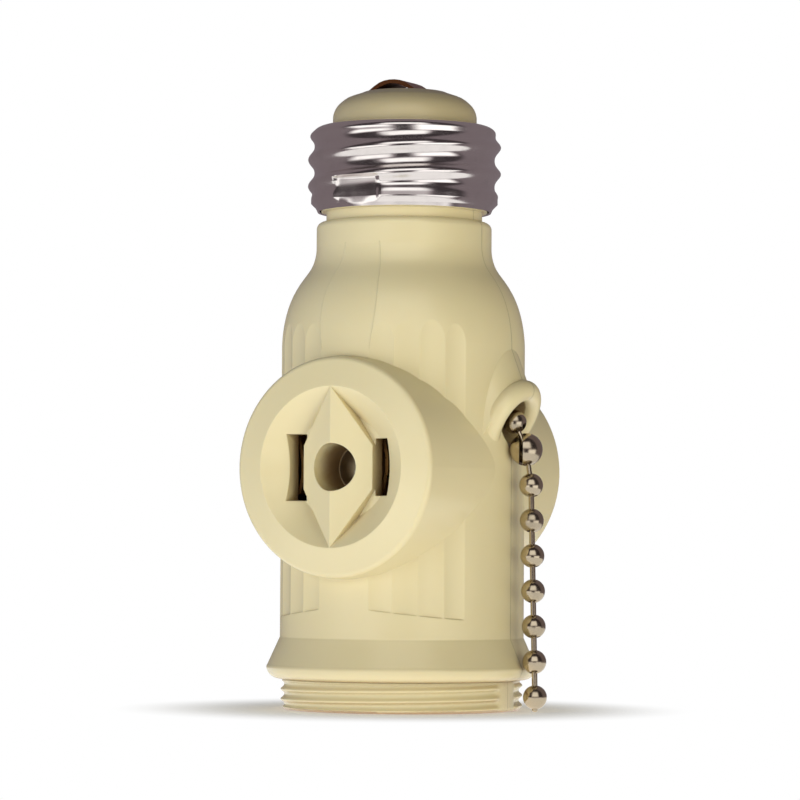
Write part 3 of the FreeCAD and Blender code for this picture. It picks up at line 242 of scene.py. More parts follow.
def moulded_plastic(name, light, shade, roughness, seam):
    """Glossy moulded plastic: a faint mottled skin, painted brown shade in its hollows and, if seam is set,
    the parting line, painted dark in its groove.
    """
    material, graph = new_material(name)
    place = graph.add("ShaderNodeTexCoord").outputs["Object"]
    flow = graph.noise(place, 45.0, 2.0, 0.45)
    mottle = graph.noise(place, 620.0, 3.0, 0.5)
    tone = graph.math("MULTIPLY_ADD", mottle, 0.08, graph.math("MULTIPLY", flow, 0.35))
    colour = graph.mix(tone, light, shade)
    height = graph.math("MULTIPLY", graph.noise(place, 2600.0, 2.0, 0.5), 0.12)
    if seam:
        across = graph.add("ShaderNodeSeparateXYZ", {0: place}).outputs[1]
        # Painted shade along the parting line: its colour is darkened over the groove, which the bump also
        # dents.
        seam_groove_and_shade = graph.ramp(graph.math("ABSOLUTE", across), 0.02 * MM, 0.11 * MM, 1.0, 0.0)
        colour = graph.mix(graph.math("MULTIPLY", seam_groove_and_shade, 0.45), colour, tuple(c * 0.45 for c in shade))
        height = graph.math("MULTIPLY_ADD", seam_groove_and_shade, -2.0, height)
    # Painted shade: where ambient occlusion finds the surface closed in, in slots, holes and hollows, the
    # colour turns dark brown.
    open_share = graph.add("ShaderNodeAmbientOcclusion", {"Distance": 12 * MM}, samples=8).outputs["AO"]
    painted_hollow_shade = graph.ramp(open_share, 0.06, 0.3, 0.92, 0.0)
    colour = graph.mix(painted_hollow_shade, colour, tuple(c * d for c, d in zip(shade, (0.36, 0.22, 0.11))))
    rounded = graph.add("ShaderNodeBevel", {"Radius": 0.22 * MM}, samples=8)
    bump_inputs = {"Strength": 0.22, "Distance": 0.03 * MM, "Height": height, "Normal": rounded}
    bump = graph.add("ShaderNodeBump", bump_inputs)
    finish_surface(
        graph,
        {
            "Base Color": colour,
            "Roughness": roughness,
            "IOR": 1.5,
            "Subsurface Weight": 0.16,
            "Subsurface Radius": (1.0, 0.7, 0.35),
            "Subsurface Scale": 1.1 * MM,
            "Normal": bump,
        },
    )
    return material


def plated_metal(name, tint, roughness, streak_scale, wear):
    """Bright plating with fine drawing marks round Z and a few duller patches."""
    material, graph = new_material(name)
    place = graph.add("ShaderNodeTexCoord").outputs["Object"]
    stretch = graph.add("ShaderNodeMapping", {"Vector": place, "Scale": streak_scale}).outputs[0]
    streaks = graph.noise(stretch, 100.0, 3.0, 0.6)
    patches = graph.noise(place, 320.0, 4.0, 0.6)
    colour = graph.mix(graph.ramp(patches, 0.45, 0.8, 0.0, wear), tint, tuple(c * 0.55 for c in tint))
    gloss = graph.ramp(patches, 0.35, 0.8, roughness, roughness + 0.12)
    bump = graph.add("ShaderNodeBump", {"Strength": 0.12, "Distance": 0.01 * MM, "Height": streaks})
    finish_surface(graph, {"Base Color": colour, "Metallic": 1.0, "Roughness": gloss, "Normal": bump})
    return material


def tarnished_brass(name, bright, dull):
    material, graph = new_material(name)
    place = graph.add("ShaderNodeTexCoord").outputs["Object"]
    patches = graph.noise(place, 260.0, 5.0, 0.65)
    rolled = graph.add("ShaderNodeMapping", {"Vector": place, "Scale": (6.0, 1.0, 1.0)}).outputs[0]
    marks = graph.noise(rolled, 900.0, 2.0, 0.5)
    colour = graph.mix(graph.ramp(patches, 0.38, 0.75, 0.0, 0.85), bright, dull)
    gloss = graph.ramp(patches, 0.3, 0.75, 0.24, 0.5)
    bump = graph.add("ShaderNodeBump", {"Strength": 0.2, "Distance": 0.01 * MM, "Height": marks})
    finish_surface(graph, {"Base Color": colour, "Metallic": 1.0, "Roughness": gloss, "Normal": bump})
    return material


def dark_moulding(name, tint):
    """Matt phenolic or fibre with a fleck in it."""
    material, graph = new_material(name)
    place = graph.add("ShaderNodeTexCoord").outputs["Object"]
    fleck = graph.noise(place, 1500.0, 4.0, 0.7)
    cloud = graph.noise(place, 140.0, 3.0, 0.5)
    tone = graph.math("MULTIPLY_ADD", cloud, 0.4, graph.ramp(fleck, 0.55, 0.75, 0.0, 0.5))
    colour = graph.mix(tone, tint, tuple(min(1.0, c * 2.1) for c in tint))
    bump = graph.add("ShaderNodeBump", {"Strength": 0.25, "Distance": 0.02 * MM, "Height": fleck})
    gloss = graph.ramp(fleck, 0.3, 0.8, 0.45, 0.65)
    finish_surface(graph, {"Base Color": colour, "Roughness": gloss, "Normal": bump})
    return material


def build_materials(finish):
    ivory = (finish.ivory, finish.ivory_shade, finish.ivory_roughness)
    # Painted shade: the cap takes the ivory plastic made darker, for its upward-facing crown.
    cap = (finish.cap, tuple(c * 0.85 for c in finish.cap), finish.ivory_roughness + 0.06)
    return {
        "ivory_plastic": moulded_plastic("moulded_ivory", *ivory, True),
        "cap_plastic": moulded_plastic("moulded_cap_painted_shade", *cap, False),
        "nickel_plate": plated_metal("drawn_nickel", tuple(finish.nickel), 0.13, (1.0, 1.0, 14.0), 0.2),
        "chain_nickel": plated_metal("chain_plating", tuple(finish.chain), 0.15, (4.0, 4.0, 4.0), 0.5),
        "brass_strip": tarnished_brass("rolled_brass", tuple(finish.brass), tuple(finish.brass_tarnish)),
        # Painted shade: the centre contact's brass is tarnish brown with darker patches, for the shadow
        # under its arch.
        "brass_with_painted_shade": tarnished_brass("brass_with_painted_shade", tuple(finish.brass_tarnish), tuple(finish.painted_shade_brass)),
        "brown_phenolic": dark_moulding("brown_phenolic", tuple(finish.phenolic)),
        "spring_steel": plated_metal("spring_wire", tuple(finish.steel), 0.28, (3.0, 3.0, 3.0), 0.5),
        "rivet_steel": plated_metal("rivet_steel", tuple(finish.steel), 0.32, (2.0, 2.0, 2.0), 0.6),
    }


MATERIALS = {}
SLOT_OF = {row["node"]: row["material_slot"] for row in frame["record"]["subparts"]}


def materials(context):
    """The finishes, made once and kept for every operator."""
    if not MATERIALS:
        MATERIALS.update(build_materials(context.scene.adapter_finish))
    return MATERIALS


def dress(context, *nodes):
    """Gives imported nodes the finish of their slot."""
    for name in nodes:
        mesh = frame["nodes"][name].data
        mesh.materials.clear()
        mesh.materials.append(materials(context)[SLOT_OF[name]])


def add_object(name, vertices, faces, material=None):
    mesh = bpy.data.meshes.new(name)
    mesh.from_pydata([tuple(v) for v in vertices], [], [tuple(f) for f in faces])
    mesh.validate()
    mesh.update()
    if material:
        mesh.materials.append(material)
    piece = bpy.data.objects.new(name, mesh)
    bpy.context.scene.collection.objects.link(piece)
    return piece


def plain_mesh(piece):
    """Turns a piece and its modifiers into a plain mesh."""
    depsgraph = bpy.context.evaluated_depsgraph_get()
    mesh = bpy.data.meshes.new_from_object(piece.evaluated_get(depsgraph), depsgraph=depsgraph)
    piece.modifiers.clear()
    piece.data = mesh
    return piece


def shade_smooth(piece, angle=40):
    mesh = piece.data
    mesh.shade_smooth()
    mesh.set_sharp_from_angle(angle=math.radians(angle))
    return piece


def place_piece(piece, body, slot, *nodes):
    """Rides a finished piece on its body and hides the imported nodes that it stands for."""
    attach(piece, body)
    if nodes:
        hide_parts(*nodes)
    return piece


def arc(centre, radius, start, end, steps):
    """Points of an arc in the outline plane; angles in degrees from the outward direction."""
    angles = [math.radians(start + (end - start) * i / steps) for i in range(steps + 1)]
    return [(centre[0] + radius * math.cos(a), centre[1] + radius * math.sin(a)) for a in angles]


def straight(start, end, step):
    count = max(1, round(math.dist(start, end) / step))
    return [tuple(s + (e - s) * i / count for s, e in zip(start, end)) for i in range(count + 1)]


def joined_outline(*runs):
    points = []
    for run in runs:
        for point in run:
            if not points or math.dist(points[-1], point) > 1e-7:
                points.append(point)
    return points


def revolved(name, outline, columns, material, closed=False):
    """A sheet turned about Z from (radius, height) points; closed joins the last row to the first."""
    rows = len(outline)
    vertices = []
    for radius, height in outline:
        for i in range(columns):
            turn = 2 * math.pi * i / columns
            vertices.append((radius * math.cos(turn), radius * math.sin(turn), height))
    faces = []
    for row in range(rows if closed else rows - 1):
        low, high = row * columns, (row + 1) % rows * columns
        for i in range(columns):
            after = (i + 1) % columns
            faces.append((low + i, low + after, high + after, high + i))
    return add_object(name, vertices, faces, material)


def thread_tree():
    """Node tree that rolls a right-hand thread into a blank: a wave with narrow crests and wide roots."""
    tree = bpy.data.node_groups.new("roll_thread", "GeometryNodeTree")
    graph = NodeGraph(tree)
    sockets = (
        ("Geometry", "NodeSocketGeometry"),
        ("Pitch", "NodeSocketFloat"),
        ("Depth", "NodeSocketFloat"),
        ("Crest", "NodeSocketFloat"),
        ("Low", "NodeSocketFloat"),
        ("High", "NodeSocketFloat"),
        ("Fade", "NodeSocketFloat"),
        ("Flat", "NodeSocketFloat"),
        ("Inside", "NodeSocketFloat"),
        ("Finish", "NodeSocketMaterial"),
    )
    for name, kind in sockets:
        tree.interface.new_socket(name, in_out="INPUT", socket_type=kind)
    tree.interface.new_socket("Geometry", in_out="OUTPUT", socket_type="NodeSocketGeometry")
    given = graph.add("NodeGroupInput").outputs
    position = graph.add("GeometryNodeInputPosition").outputs[0]
    parts = graph.add("ShaderNodeSeparateXYZ", {0: position}).outputs
    turn = graph.math("ARCTAN2", parts[1], parts[0])
    rise = graph.math("SUBTRACT", parts[2], given["Crest"])
    turns = graph.math("DIVIDE", rise, given["Pitch"])
    phase = graph.math("SUBTRACT", graph.math("MULTIPLY", turns, 2 * math.pi), turn)
    bulge = graph.math("POWER", graph.math("SINE", phase), 2.0)
    wave = graph.math("MULTIPLY_ADD", bulge, -0.28, graph.math("COSINE", phase))
    full_low = graph.math("ADD", given["Low"], given["Fade"])
    full_high = graph.math("SUBTRACT", given["High"], given["Fade"])
    fade_in = graph.ramp(parts[2], given["Low"], full_low)
    fade_out = graph.ramp(parts[2], given["High"], full_high)
    side = graph.math("ABSOLUTE", graph.math("SINE", turn))
    flat_edge = graph.math("SINE", given["Flat"])
    plain_low = graph.math("SUBTRACT", flat_edge, 2e-6)
    plain_high = graph.math("MULTIPLY_ADD", flat_edge, 1.6, -1e-6)
    plain = graph.ramp(side, plain_low, plain_high)
    flat_mask = {0: position, 1: (1.0, 1.0, 0.0)}
    across = graph.add("ShaderNodeVectorMath", flat_mask, operation="MULTIPLY").outputs[0]
    outward = graph.add("ShaderNodeVectorMath", {0: across}, operation="NORMALIZE").outputs[0]
    radius = graph.add("ShaderNodeVectorMath", {0: across}, operation="LENGTH").outputs["Value"]
    on_wall = graph.math("GREATER_THAN", radius, given["Inside"])
    amount = graph.math("MULTIPLY", wave, given["Depth"])
    for share in (fade_in, fade_out, plain, on_wall):
        amount = graph.math("MULTIPLY", amount, share)
    offset = graph.add("ShaderNodeVectorMath", {0: outward, "Scale": amount}, operation="SCALE").outputs[0]
    moved = graph.add("GeometryNodeSetPosition", {"Geometry": given["Geometry"], "Offset": offset})
    real = graph.add("GeometryNodeRealizeInstances", {0: moved})
    painted = graph.add("GeometryNodeSetMaterial", {"Geometry": real, "Material": given["Finish"]})
    graph.add("NodeGroupOutput", {0: painted})
    return tree


def node_modifier(piece, tree, values):
    modifier = piece.modifiers.new(tree.name, "NODES")
    modifier.node_group = tree
    for item in tree.interface.items_tree:
        if item.item_type == "SOCKET" and item.in_out == "INPUT" and item.name in values:
            modifier[item.identifier] = values[item.name]
    return modifier


def roll_thread(piece, finish, pitch, depth, crest, low, high, fade, flat=0.0, inside=0.0):
    """Rolls the thread and bakes it into the piece's mesh."""
    tree = bpy.data.node_groups.get("roll_thread") or thread_tree()
    values = {"Pitch": pitch, "Depth": depth, "Crest": crest, "Low": low, "High": high}
    values |= {"Fade": fade, "Flat": flat, "Inside": inside, "Finish": finish}
    node_modifier(piece, tree, values)
    return plain_mesh(piece)


def give_thickness(piece, gauge):
    """Thickens a sheet inwards from its outer face."""
    modifier = piece.modifiers.new("gauge", "SOLIDIFY")
    modifier.thickness = gauge
    modifier.offset = -1.0
    modifier.use_even_offset = True
    return plain_mesh(piece)


def smoothstep(values, low, high):
    share = np.clip((values - low) / (high - low), 0.0, 1.0)
    return share * share * (3 - 2 * share)


def press_stake(piece, shell):
    """Presses the flat-bottomed dimple that stakes the shell to the neck."""
    mesh = piece.data
    points = np.empty(len(mesh.vertices) * 3)
    mesh.vertices.foreach_get("co", points)
    points = points.reshape(-1, 3)
    radius = np.hypot(points[:, 0], points[:, 1])
    turn = np.arctan2(points[:, 1], points[:, 0]) - shell.stake_angle
    turn = (turn + math.pi) % (2 * math.pi) - math.pi
    along = np.abs(turn) * shell.radius
    edge = 0.42 * MM
    half = shell.stake_width / 2
    top = SHELL_LOW.z + shell.stake_height
    mask = (1 - smoothstep(along, half - edge, half)) * (1 - smoothstep(points[:, 2], top - edge, top))
    floor = (shell.radius - shell.stake_depth) / np.cos(np.clip(turn, -0.5, 0.5))
    target = np.minimum(radius, floor + 0.1 * (radius - floor))
    scale = 1 + mask * (target / radius - 1)
    points[:, 0] *= scale
    points[:, 1] *= scale
    mesh.vertices.foreach_set("co", points.ravel())
    mesh.update()


def base_shell_outline(shell):
    """Outer line of the base shell, from its lower rim up to the edge curled in over the cap."""
    curl = 1.5 * MM
    bead = 0.55 * MM
    low, high = SHELL_LOW.z, SHELL_HIGH.z
    rim = straight((shell.rim_radius, low), (shell.rim_radius + 0.25 * MM, low + bead), 0.15 * MM)
    wall = straight((shell.radius, low + 1.2 * MM), (shell.radius, high - curl), 0.11 * MM)
    over = arc((shell.radius - curl, high - curl), curl, 0, 90, 12)
    lip = straight((shell.radius - curl, high), (shell.top_hole, high), 0.2 * MM)
    return joined_outline(rim, wall, over, lip)


class ADAPTER_OT_screw_shell(bpy.types.Operator):
    """Base shell with its rolled right-hand thread, curled top edge and staked dimple"""

    bl_idname = "adapter.screw_shell"
    bl_label = "Screw shell"

    def execute(self, context):
        shell = context.scene.adapter_shell
        finish = materials(context)["nickel_plate"]
        piece = revolved("base_thread_shell", base_shell_outline(shell), shell.columns, finish)
        low, high = SHELL_LOW.z + 1.8 * MM, SHELL_HIGH.z - 0.35 * MM
        roll_thread(piece, finish, shell.pitch, shell.depth, shell.crest, low, high, 1.3 * MM)
        press_stake(piece, shell)
        give_thickness(piece, shell.gauge)
        place_piece(shade_smooth(piece, 50), "housing", "nickel_plate", "base_screw_shell")
        return {"FINISHED"}


def holder_outline(shell):
    """Outer line of the lampholder shell: a plain lip, the threaded wall and the riveted flange."""
    wall = HOLDER_HIGH.x - shell.depth
    top = FLOOR_LOW.z
    lip = arc((wall + 0.3 * MM, HOLDER_LOW.z + 0.3 * MM), 0.3 * MM, 270, 180, 4)
    rise = straight((wall, HOLDER_LOW.z + 0.3 * MM), (wall, top - 0.9 * MM), 0.22 * MM)
    turn = arc((wall - 0.9 * MM, top - 0.9 * MM), 0.9 * MM, 0, 90, 6)
    flange_bore = 9.4 * MM
    flange = straight((wall - 0.9 * MM, top), (flange_bore, top), 0.4 * MM)
    return joined_outline(lip, rise, turn, flange)


class ADAPTER_OT_lampholder(bpy.types.Operator):
    """Threaded shell, sprung tongue, floor and rivets inside the mouth"""

    bl_idname = "adapter.lampholder"
    bl_label = "Lampholder"

    def execute(self, context):
        shell = context.scene.adapter_shell
        finish = materials(context)["nickel_plate"]
        piece = revolved("lamp_thread_shell", holder_outline(shell), HOLDER_COLUMNS, finish)
        crest = HOLDER_LOW.z + 1.6 * MM
        low, high = HOLDER_LOW.z + 0.5 * MM, FLOOR_LOW.z - 1.0 * MM
        roll_thread(piece, finish, shell.pitch, shell.depth, crest, low, high, 1.2 * MM, 0.0, 12 * MM)
        give_thickness(piece, shell.gauge)
        place_piece(shade_smooth(piece, 50), "housing", "nickel_plate", "lampholder_shell")
        dress(context, "lampholder_floor", "holder_rivets", "lamp_centre_contact")
        dress(context, "tongue_rivet", "load_strap")
        return {"FINISHED"}


def ring_thread_outline(ring):
    """Closed outline of the threaded band round the mouth; its inner line is buried in the mouldings."""
    inner = ring.radius - 0.75 * MM
    low, high = CAD_LOW.z + 0.03 * MM, CAD_LOW.z + ring.height
    chamfer = 0.3 * MM
    base = ring.radius - ring.depth
    outer = straight((base, low + chamfer), (base, high), 0.09 * MM)
    return joined_outline([(inner, low), (base - chamfer, low)], outer, [(inner, high)])


class ADAPTER_OT_ring_thread(bpy.types.Operator):
    """Moulded thread for a shade ring under the flare"""

    bl_idname = "adapter.ring_thread"
    bl_label = "Shade-ring thread"

    def execute(self, context):
        ring = context.scene.adapter_ring
        finish = materials(context)["ivory_plastic"]
        piece = revolved("shade_ring_thread", ring_thread_outline(ring), RING_COLUMNS, finish, closed=True)
        low, high = CAD_LOW.z + 0.1 * MM, CAD_LOW.z + ring.height - 0.02 * MM
        inside = ring.radius - ring.depth - 0.1 * MM
        fade = 0.35 * MM
        roll_thread(piece, finish, ring.pitch, ring.depth, ring.crest, low, high, fade, ring.flat, inside)
        place_piece(shade_smooth(piece, 60), "housing", "ivory_plastic")
        return {"FINISHED"}


def surface_tree(*nodes):
    """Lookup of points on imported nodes."""
    vertices, faces = [], []
    for name in nodes:
        mesh = frame["nodes"][name].data
        first = len(vertices)
        vertices += [v.co.copy() for v in mesh.vertices]
        faces += [[first + i for i in p.vertices] for p in mesh.polygons]
    return BVHTree.FromPolygons(vertices, faces)


def on_skin(skin, azimuth, height):
    """Point of the housing's skin at an angle about Z, found from outside, and its normal."""
    outward = Vector((math.cos(azimuth), math.sin(azimuth), 0.0))
    start = outward * 30 * MM + AXIS_UP * height
    location, normal, _, _ = skin.ray_cast(start, -outward)
    return location, (normal if normal.dot(outward) > 0 else -normal)


def line_tree():
    """Node tree that lays a fine half-round ridge along a line of edges."""
    tree = bpy.data.node_groups.new("lay_ridge", "GeometryNodeTree")
    graph = NodeGraph(tree)
    for name, kind in (
        ("Geometry", "NodeSocketGeometry"),
        ("Radius", "NodeSocketFloat"),
        ("Finish", "NodeSocketMaterial"),
    ):
        tree.interface.new_socket(name, in_out="INPUT", socket_type=kind)
    tree.interface.new_socket("Geometry", in_out="OUTPUT", socket_type="NodeSocketGeometry")
    given = graph.add("NodeGroupInput").outputs
    curve = graph.add("GeometryNodeMeshToCurve", {0: given["Geometry"]})
    section = graph.add("GeometryNodeCurvePrimitiveCircle", {"Resolution": 8, "Radius": given["Radius"]})
    sweep = {"Curve": curve, "Profile Curve": section, "Fill Caps": True}
    ridge = graph.add("GeometryNodeCurveToMesh", sweep)
    real = graph.add("GeometryNodeRealizeInstances", {0: ridge})
    painted = graph.add("GeometryNodeSetMaterial", {"Geometry": real, "Material": given["Finish"]})
    graph.add("NodeGroupOutput", {0: painted})
    return tree


def ridge_lines(name, lines, radius, finish):
    """One piece with a ridge along each list of points."""
    vertices, edges = [], []
    for line in lines:
        first = len(vertices)
        vertices += line
        edges += [(first + i, first + i + 1) for i in range(len(line) - 1)]
    mesh = bpy.data.meshes.new(name)
    mesh.from_pydata(vertices, edges, [])
    piece = bpy.data.objects.new(name, mesh)
    bpy.context.scene.collection.objects.link(piece)
    tree = bpy.data.node_groups.get("lay_ridge") or line_tree()
    node_modifier(piece, tree, {"Radius": radius, "Finish": finish})
    return plain_mesh(piece)


class ADAPTER_OT_housing(bpy.types.Operator):
    """Both moulded halves with their rivet and the fine lines that the mould leaves on them"""

    bl_idname = "adapter.housing"
    bl_label = "Housing"

    def execute(self, context):
        dress(context, "front_housing", "rear_housing", "housing_rivet")
        skin = surface_tree("front_housing", "rear_housing")
        radius = 0.09 * MM
        sunk = radius * 0.55
        lines = []
        for outlet in (-90, 90):
            for side in (-1, 1):
                line = []
                for i in range(25):
                    share = i / 24
                    height = (48.0 + 14.5 * share) * MM
                    azimuth = math.radians(outlet + side * (12.5 + 2.5 * math.sin(math.pi * share)))
                    point, normal = on_skin(skin, azimuth, height)
                    line.append(point - normal * sunk)
                lines.append(line)
        piece = ridge_lines("mould_lines", lines, radius, materials(context)["ivory_plastic"])
        place_piece(shade_smooth(piece, 60), "housing", "ivory_plastic")
        return {"FINISHED"}


class ADAPTER_OT_base_cap(bpy.types.Operator):
    """Insulating cap and the arched contact on top of it"""

    bl_idname = "adapter.base_cap"
    bl_label = "Cap and centre contact"

    def execute(self, context):
        finishes = materials(context)
        cap = context.scene.adapter_cap
        self.settled(cap, "base_insulator", "cap_plastic", finishes["cap_plastic"], 0.0)
        # Painted shade: the centre contact takes the dark brown brass.
        self.settled(cap, "base_contact", "brass_strip", finishes["brass_with_painted_shade"], cap.arch_kept)
        return {"FINISHED"}

    def settled(self, cap, node, slot, finish, kept):
        """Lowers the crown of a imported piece; kept is how much of that the top of an arch keeps."""
        mesh = frame["nodes"][node].data
        rows = []
        for vertex in mesh.vertices:
            x, y, z = vertex.co
            drop = cap.settle * smoothstep(z, cap.bend_z, CAP_HIGH.z + 0.1 * MM)
            drop -= kept * smoothstep(z, CAP_HIGH.z + 0.3 * MM, CAP_HIGH.z + 1.2 * MM)
            rows.append((x, y, z - drop))
        faces = [tuple(polygon.vertices) for polygon in mesh.polygons]
        piece = add_object(node + "_settled", rows, faces, finish)
        place_piece(shade_smooth(piece, 35), "housing", slot, node)


class ADAPTER_OT_wiring(bpy.types.Operator):
    """Outlet contacts, straps and risers inside the halves"""

    bl_idname = "adapter.wiring"
    bl_label = "Contacts and straps"

    def execute(self, context):
        for end in ("front", "rear"):
            dress(context, end + "_neutral_contact", end + "_hot_contact")
        dress(context, "neutral_bus", "hot_bus", "shell_strap", "lamp_shell_strap", "hot_riser")
        return {"FINISHED"}


class ADAPTER_OT_switch(bpy.types.Operator):
    """Ratchet switch on its base"""

    bl_idname = "adapter.switch"
    bl_label = "Switch"

    def execute(self, context):
        dress(context, "switch_base", "switch_axle", "pull_lever", "ratchet_rotor", "rotor_contact")
        dress(context, "return_spring", "line_contact", "load_contact")
        return {"FINISHED"}


BEAD_COUNT = sum(name.startswith("bead_") for name in frame["nodes"])

# Wires that are drawn in towards a point on them: node, body, that point in millimetres and the share kept
TRIMMED_WIRES = (
    ("coupling_link", "coupling", (17.83, 0.0, 36.9), 0.78),
    ("link_1", "chain_1", (19.4, 0.0, 31.2), 0.88),
)


class ADAPTER_OT_chain(bpy.types.Operator):
    """Ball chain with its coupling"""

    bl_idname = "adapter.chain"
    bl_label = "Pull chain"

    def execute(self, context):
        dress(context, "inner_beads", "inner_links", "chain_coupling", "end_link")
        for i in range(1, BEAD_COUNT + 1):
            dress(context, "bead_%d" % i)
            if i > 1:
                dress(context, "link_%d" % i)
        for node, body, centre, share in TRIMMED_WIRES:
            self.trimmed(context, node, body, Vector(centre) * MM, share)
        return {"FINISHED"}

    def trimmed(self, context, node, body, centre, share):
        """Draws a wire in towards a point on it, so that its end clears the next wire as the chain bends."""
        mesh = frame["nodes"][node].data
        rows = [centre + (vertex.co - centre) * share for vertex in mesh.vertices]
        faces = [tuple(polygon.vertices) for polygon in mesh.polygons]
        piece = add_object(node + "_trimmed", rows, faces, materials(context)["chain_nickel"])
        place_piece(shade_smooth(piece, 40), body, "chain_nickel", node)


def aim(location, target, roll=0.0):
    direction = (Vector(target) - Vector(location)).normalized()
    turn = direction.to_track_quat("-Z", "Y").to_matrix().to_4x4()
    return Matrix.Translation(location) @ turn @ Matrix.Rotation(roll, 4, "Z")


def around(azimuth, elevation, distance):
    """A point seen from the adapter at an angle round it, in the camera's convention."""
    flat = math.cos(elevation) * distance
    return Vector((math.sin(azimuth) * flat, -math.cos(azimuth) * flat, math.sin(elevation) * distance))


def add_camera(studio):
    data = bpy.data.cameras.new("camera")
    data.lens = studio.lens
    data.sensor_width = 36.0
    data.clip_start, data.clip_end = 0.02, 20.0
    camera = bpy.data.objects.new("camera", data)
    bpy.context.scene.collection.objects.link(camera)
    back = around(studio.azimuth, 0.0, 1.0)
    right = Vector((math.cos(studio.azimuth), math.sin(studio.azimuth), 0.0))
    location = back * studio.distance + AXIS_UP * studio.height
    target = AXIS_UP * studio.aim_height - right * studio.aim_side
    camera.matrix_world = aim(location, target, studio.roll)
    bpy.context.scene.camera = camera


def add_lamp(name, azimuth, distance, size, power, tint):
    """A soft box that lights the object; what plating mirrors is painted in the world."""
    data = bpy.data.lights.new(name, "AREA")
    data.color = tint
    data.shape = "RECTANGLE"
    data.size, data.size_y = size
    data.energy = power
    lamp = bpy.data.objects.new(name, data)
    bpy.context.scene.collection.objects.link(lamp)
    centre = AXIS_UP * (CAD_LOW.z + CAD_HIGH.z) / 2
    lamp.matrix_world = aim(centre + around(azimuth, 0.0, distance), centre)
    lamp.visible_glossy = False


# What plating mirrors, as (angle from the camera, half width, elevation, half height) in degrees and a level
MIRRORED_PANELS = (
    (0, 31, 30, 22, 1.25),
    (-44, 27, -20, 18, 1.3),
    (42, 27, -20, 18, 1.4),
    (0, 62, -76, 15, 0.85),
    (180, 100, 0, 90, 0.15),
)


def light_world(studio):
    """White for the camera, a room darker overhead for the object, soft panels for the plating."""
    world = bpy.data.worlds.new("studio")
    bpy.context.scene.world = world
    world.use_nodes = True
    graph = NodeGraph(world.node_tree)
    direction = graph.add("ShaderNodeTexCoord").outputs["Generated"]
    x, y, z = graph.add("ShaderNodeSeparateXYZ", {0: direction}).outputs
    room = graph.ramp(z, -0.35, 0.55, studio.room_level, studio.room_top)
    turn = graph.math("ARCTAN2", x, graph.math("MULTIPLY", y, -1.0))
    rise = graph.math("ARCSINE", z)
    mirrored = 0.05
    for centre, half_width, elevation, half_height, level in MIRRORED_PANELS:
        apart = graph.math("SUBTRACT", turn, studio.azimuth + math.radians(centre))
        apart = graph.math("ABSOLUTE", graph.math("WRAP", apart, math.pi, -math.pi))
        above = graph.math("ABSOLUTE", graph.math("SUBTRACT", rise, math.radians(elevation)))
        across = graph.ramp(apart, math.radians(half_width - 7), math.radians(half_width + 8), level, 0.0)
        upright = graph.ramp(above, math.radians(half_height - 6), math.radians(half_height + 7), 1.0, 0.0)
        mirrored = graph.math("MULTIPLY_ADD", across, upright, mirrored)
    rays = graph.add("ShaderNodeLightPath").outputs
    glossy = rays["Is Glossy Ray"]
    strength = graph.add("ShaderNodeMix", {0: glossy, 2: room, 3: mirrored}).outputs[0]
    other_rays = graph.math("SUBTRACT", 1.0, glossy)
    plain = graph.math("MAXIMUM", other_rays, graph.ramp(mirrored, 0.1, 0.9))
    tint = graph.mix(plain, (1.0, 0.82, 0.9), (1.0, 1.0, 1.0))
    lit = graph.add("ShaderNodeBackground", {"Color": tint, "Strength": strength})
    seen = graph.add("ShaderNodeBackground", {"Color": (1.0, 1.0, 1.0, 1.0), "Strength": 1.0})
    shown = graph.add("ShaderNodeMixShader", {0: rays["Is Camera Ray"], 1: lit, 2: seen})
    graph.add("ShaderNodeOutputWorld", {"Surface": shown})


def floor_material(glow):
    """Pale light table that keeps the adapter's shadow near it and is plain white further out."""
    material, graph = new_material("studio_floor")
    place = graph.add("ShaderNodeTexCoord").outputs["Object"]
    away = graph.add("ShaderNodeVectorMath", {0: place}, operation="LENGTH").outputs["Value"]
    rays = graph.add("ShaderNodeLightPath").outputs
    seen = graph.math("MAXIMUM", rays["Is Camera Ray"], rays["Is Glossy Ray"])
    white = graph.math("MULTIPLY", graph.ramp(away, 0.016, 0.04), seen)
    matt = graph.add("ShaderNodeBsdfDiffuse", {"Color": (0.9, 0.9, 0.9, 1.0)})
    upward = graph.math("MULTIPLY_ADD", rays["Is Camera Ray"], -0.7 * glow, glow)
    table = graph.add("ShaderNodeEmission", {"Color": (1.0, 1.0, 1.0, 1.0), "Strength": upward})
    lit = graph.add("ShaderNodeAddShader", {0: matt, 1: table})
    plain = graph.add("ShaderNodeEmission", {"Color": (1.0, 1.0, 1.0, 1.0), "Strength": 1.0})
    shown = graph.add("ShaderNodeMixShader", {0: white, 1: lit, 2: plain})
    graph.add("ShaderNodeOutputMaterial", {"Surface": shown})
    return material


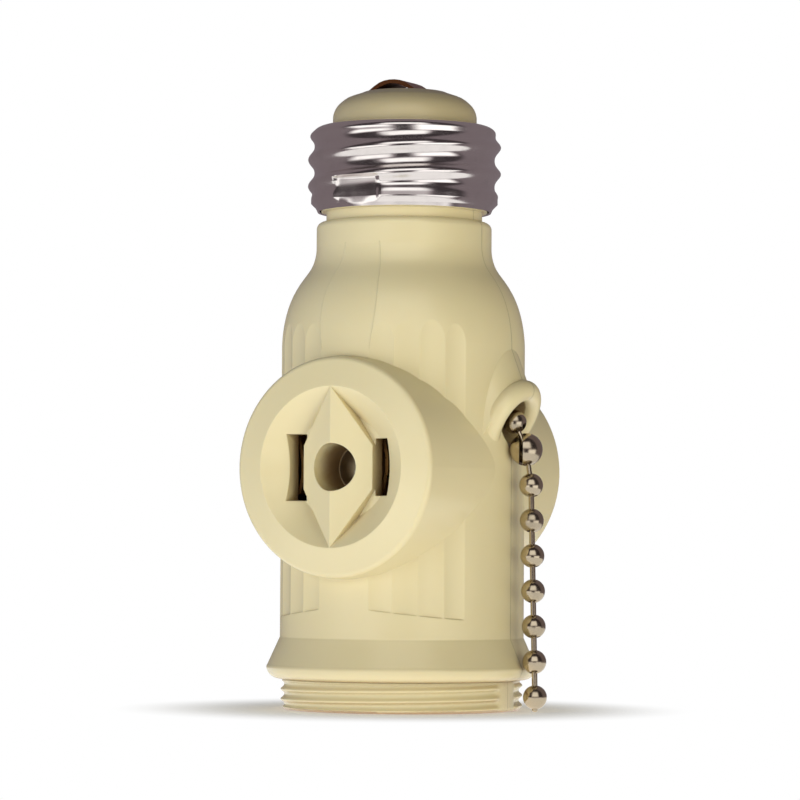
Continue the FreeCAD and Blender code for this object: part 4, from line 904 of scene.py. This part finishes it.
class ADAPTER_OT_studio(bpy.types.Operator):
    """Camera, floor, room light and lamps"""

    bl_idname = "adapter.studio"
    bl_label = "Studio"

    def execute(self, context):
        studio = context.scene.adapter_studio
        add_camera(studio)
        light_world(studio)
        level = CAD_LOW.z - 0.02 * MM
        rim = [(math.cos(math.radians(a)), math.sin(math.radians(a))) for a in range(0, 360, 6)]
        corners = [(x * studio.floor_radius, y * studio.floor_radius, level) for x, y in rim]
        floor = add_object("floor", corners, [range(len(rim))], floor_material(studio.floor_glow))
        left, right = studio.azimuth - math.radians(40), studio.azimuth + math.radians(34)
        add_lamp("left_box", left, 0.6, (0.42, 0.5), studio.left_power, studio.left_tint)
        add_lamp("right_box", right, 0.6, (0.36, 0.5), studio.right_power, studio.right_tint)
        context.scene.view_settings.view_transform = "Standard"
        return {"FINISHED"}


OPERATORS = (
    ADAPTER_OT_studio,
    ADAPTER_OT_housing,
    ADAPTER_OT_ring_thread,
    ADAPTER_OT_screw_shell,
    ADAPTER_OT_base_cap,
    ADAPTER_OT_lampholder,
    ADAPTER_OT_wiring,
    ADAPTER_OT_switch,
    ADAPTER_OT_chain,
)


class ADAPTER_PT_panel(bpy.types.Panel):
    """Lists the adapter's pieces and their settings"""

    bl_idname = "ADAPTER_PT_panel"
    bl_label = "Lamp socket adapter"
    bl_space_type = "VIEW_3D"
    bl_region_type = "UI"
    bl_category = "Adapter"

    def draw(self, context):
        layout = self.layout
        for operator in OPERATORS:
            layout.operator(operator.bl_idname)
        for name in GROUP_NAMES:
            group = getattr(context.scene, name)
            box = layout.box()
            for key in group.bl_rna.properties.keys():
                if key not in ("rna_type", "name"):
                    box.prop(group, key)


CLASSES = (*GROUPS, *OPERATORS, ADAPTER_PT_panel)


def register():
    for item in CLASSES:
        bpy.utils.register_class(item)
    for name, group in zip(GROUP_NAMES, GROUPS):
        setattr(bpy.types.Scene, name, PointerProperty(type=group))


def unregister():
    for name in GROUP_NAMES:
        delattr(bpy.types.Scene, name)
    for item in reversed(CLASSES):
        bpy.utils.unregister_class(item)


def main():
    register()
    for operator in OPERATORS:
        group, name = operator.bl_idname.split(".")
        getattr(getattr(bpy.ops, group), name)()


if __name__ == "__main__":
    main()
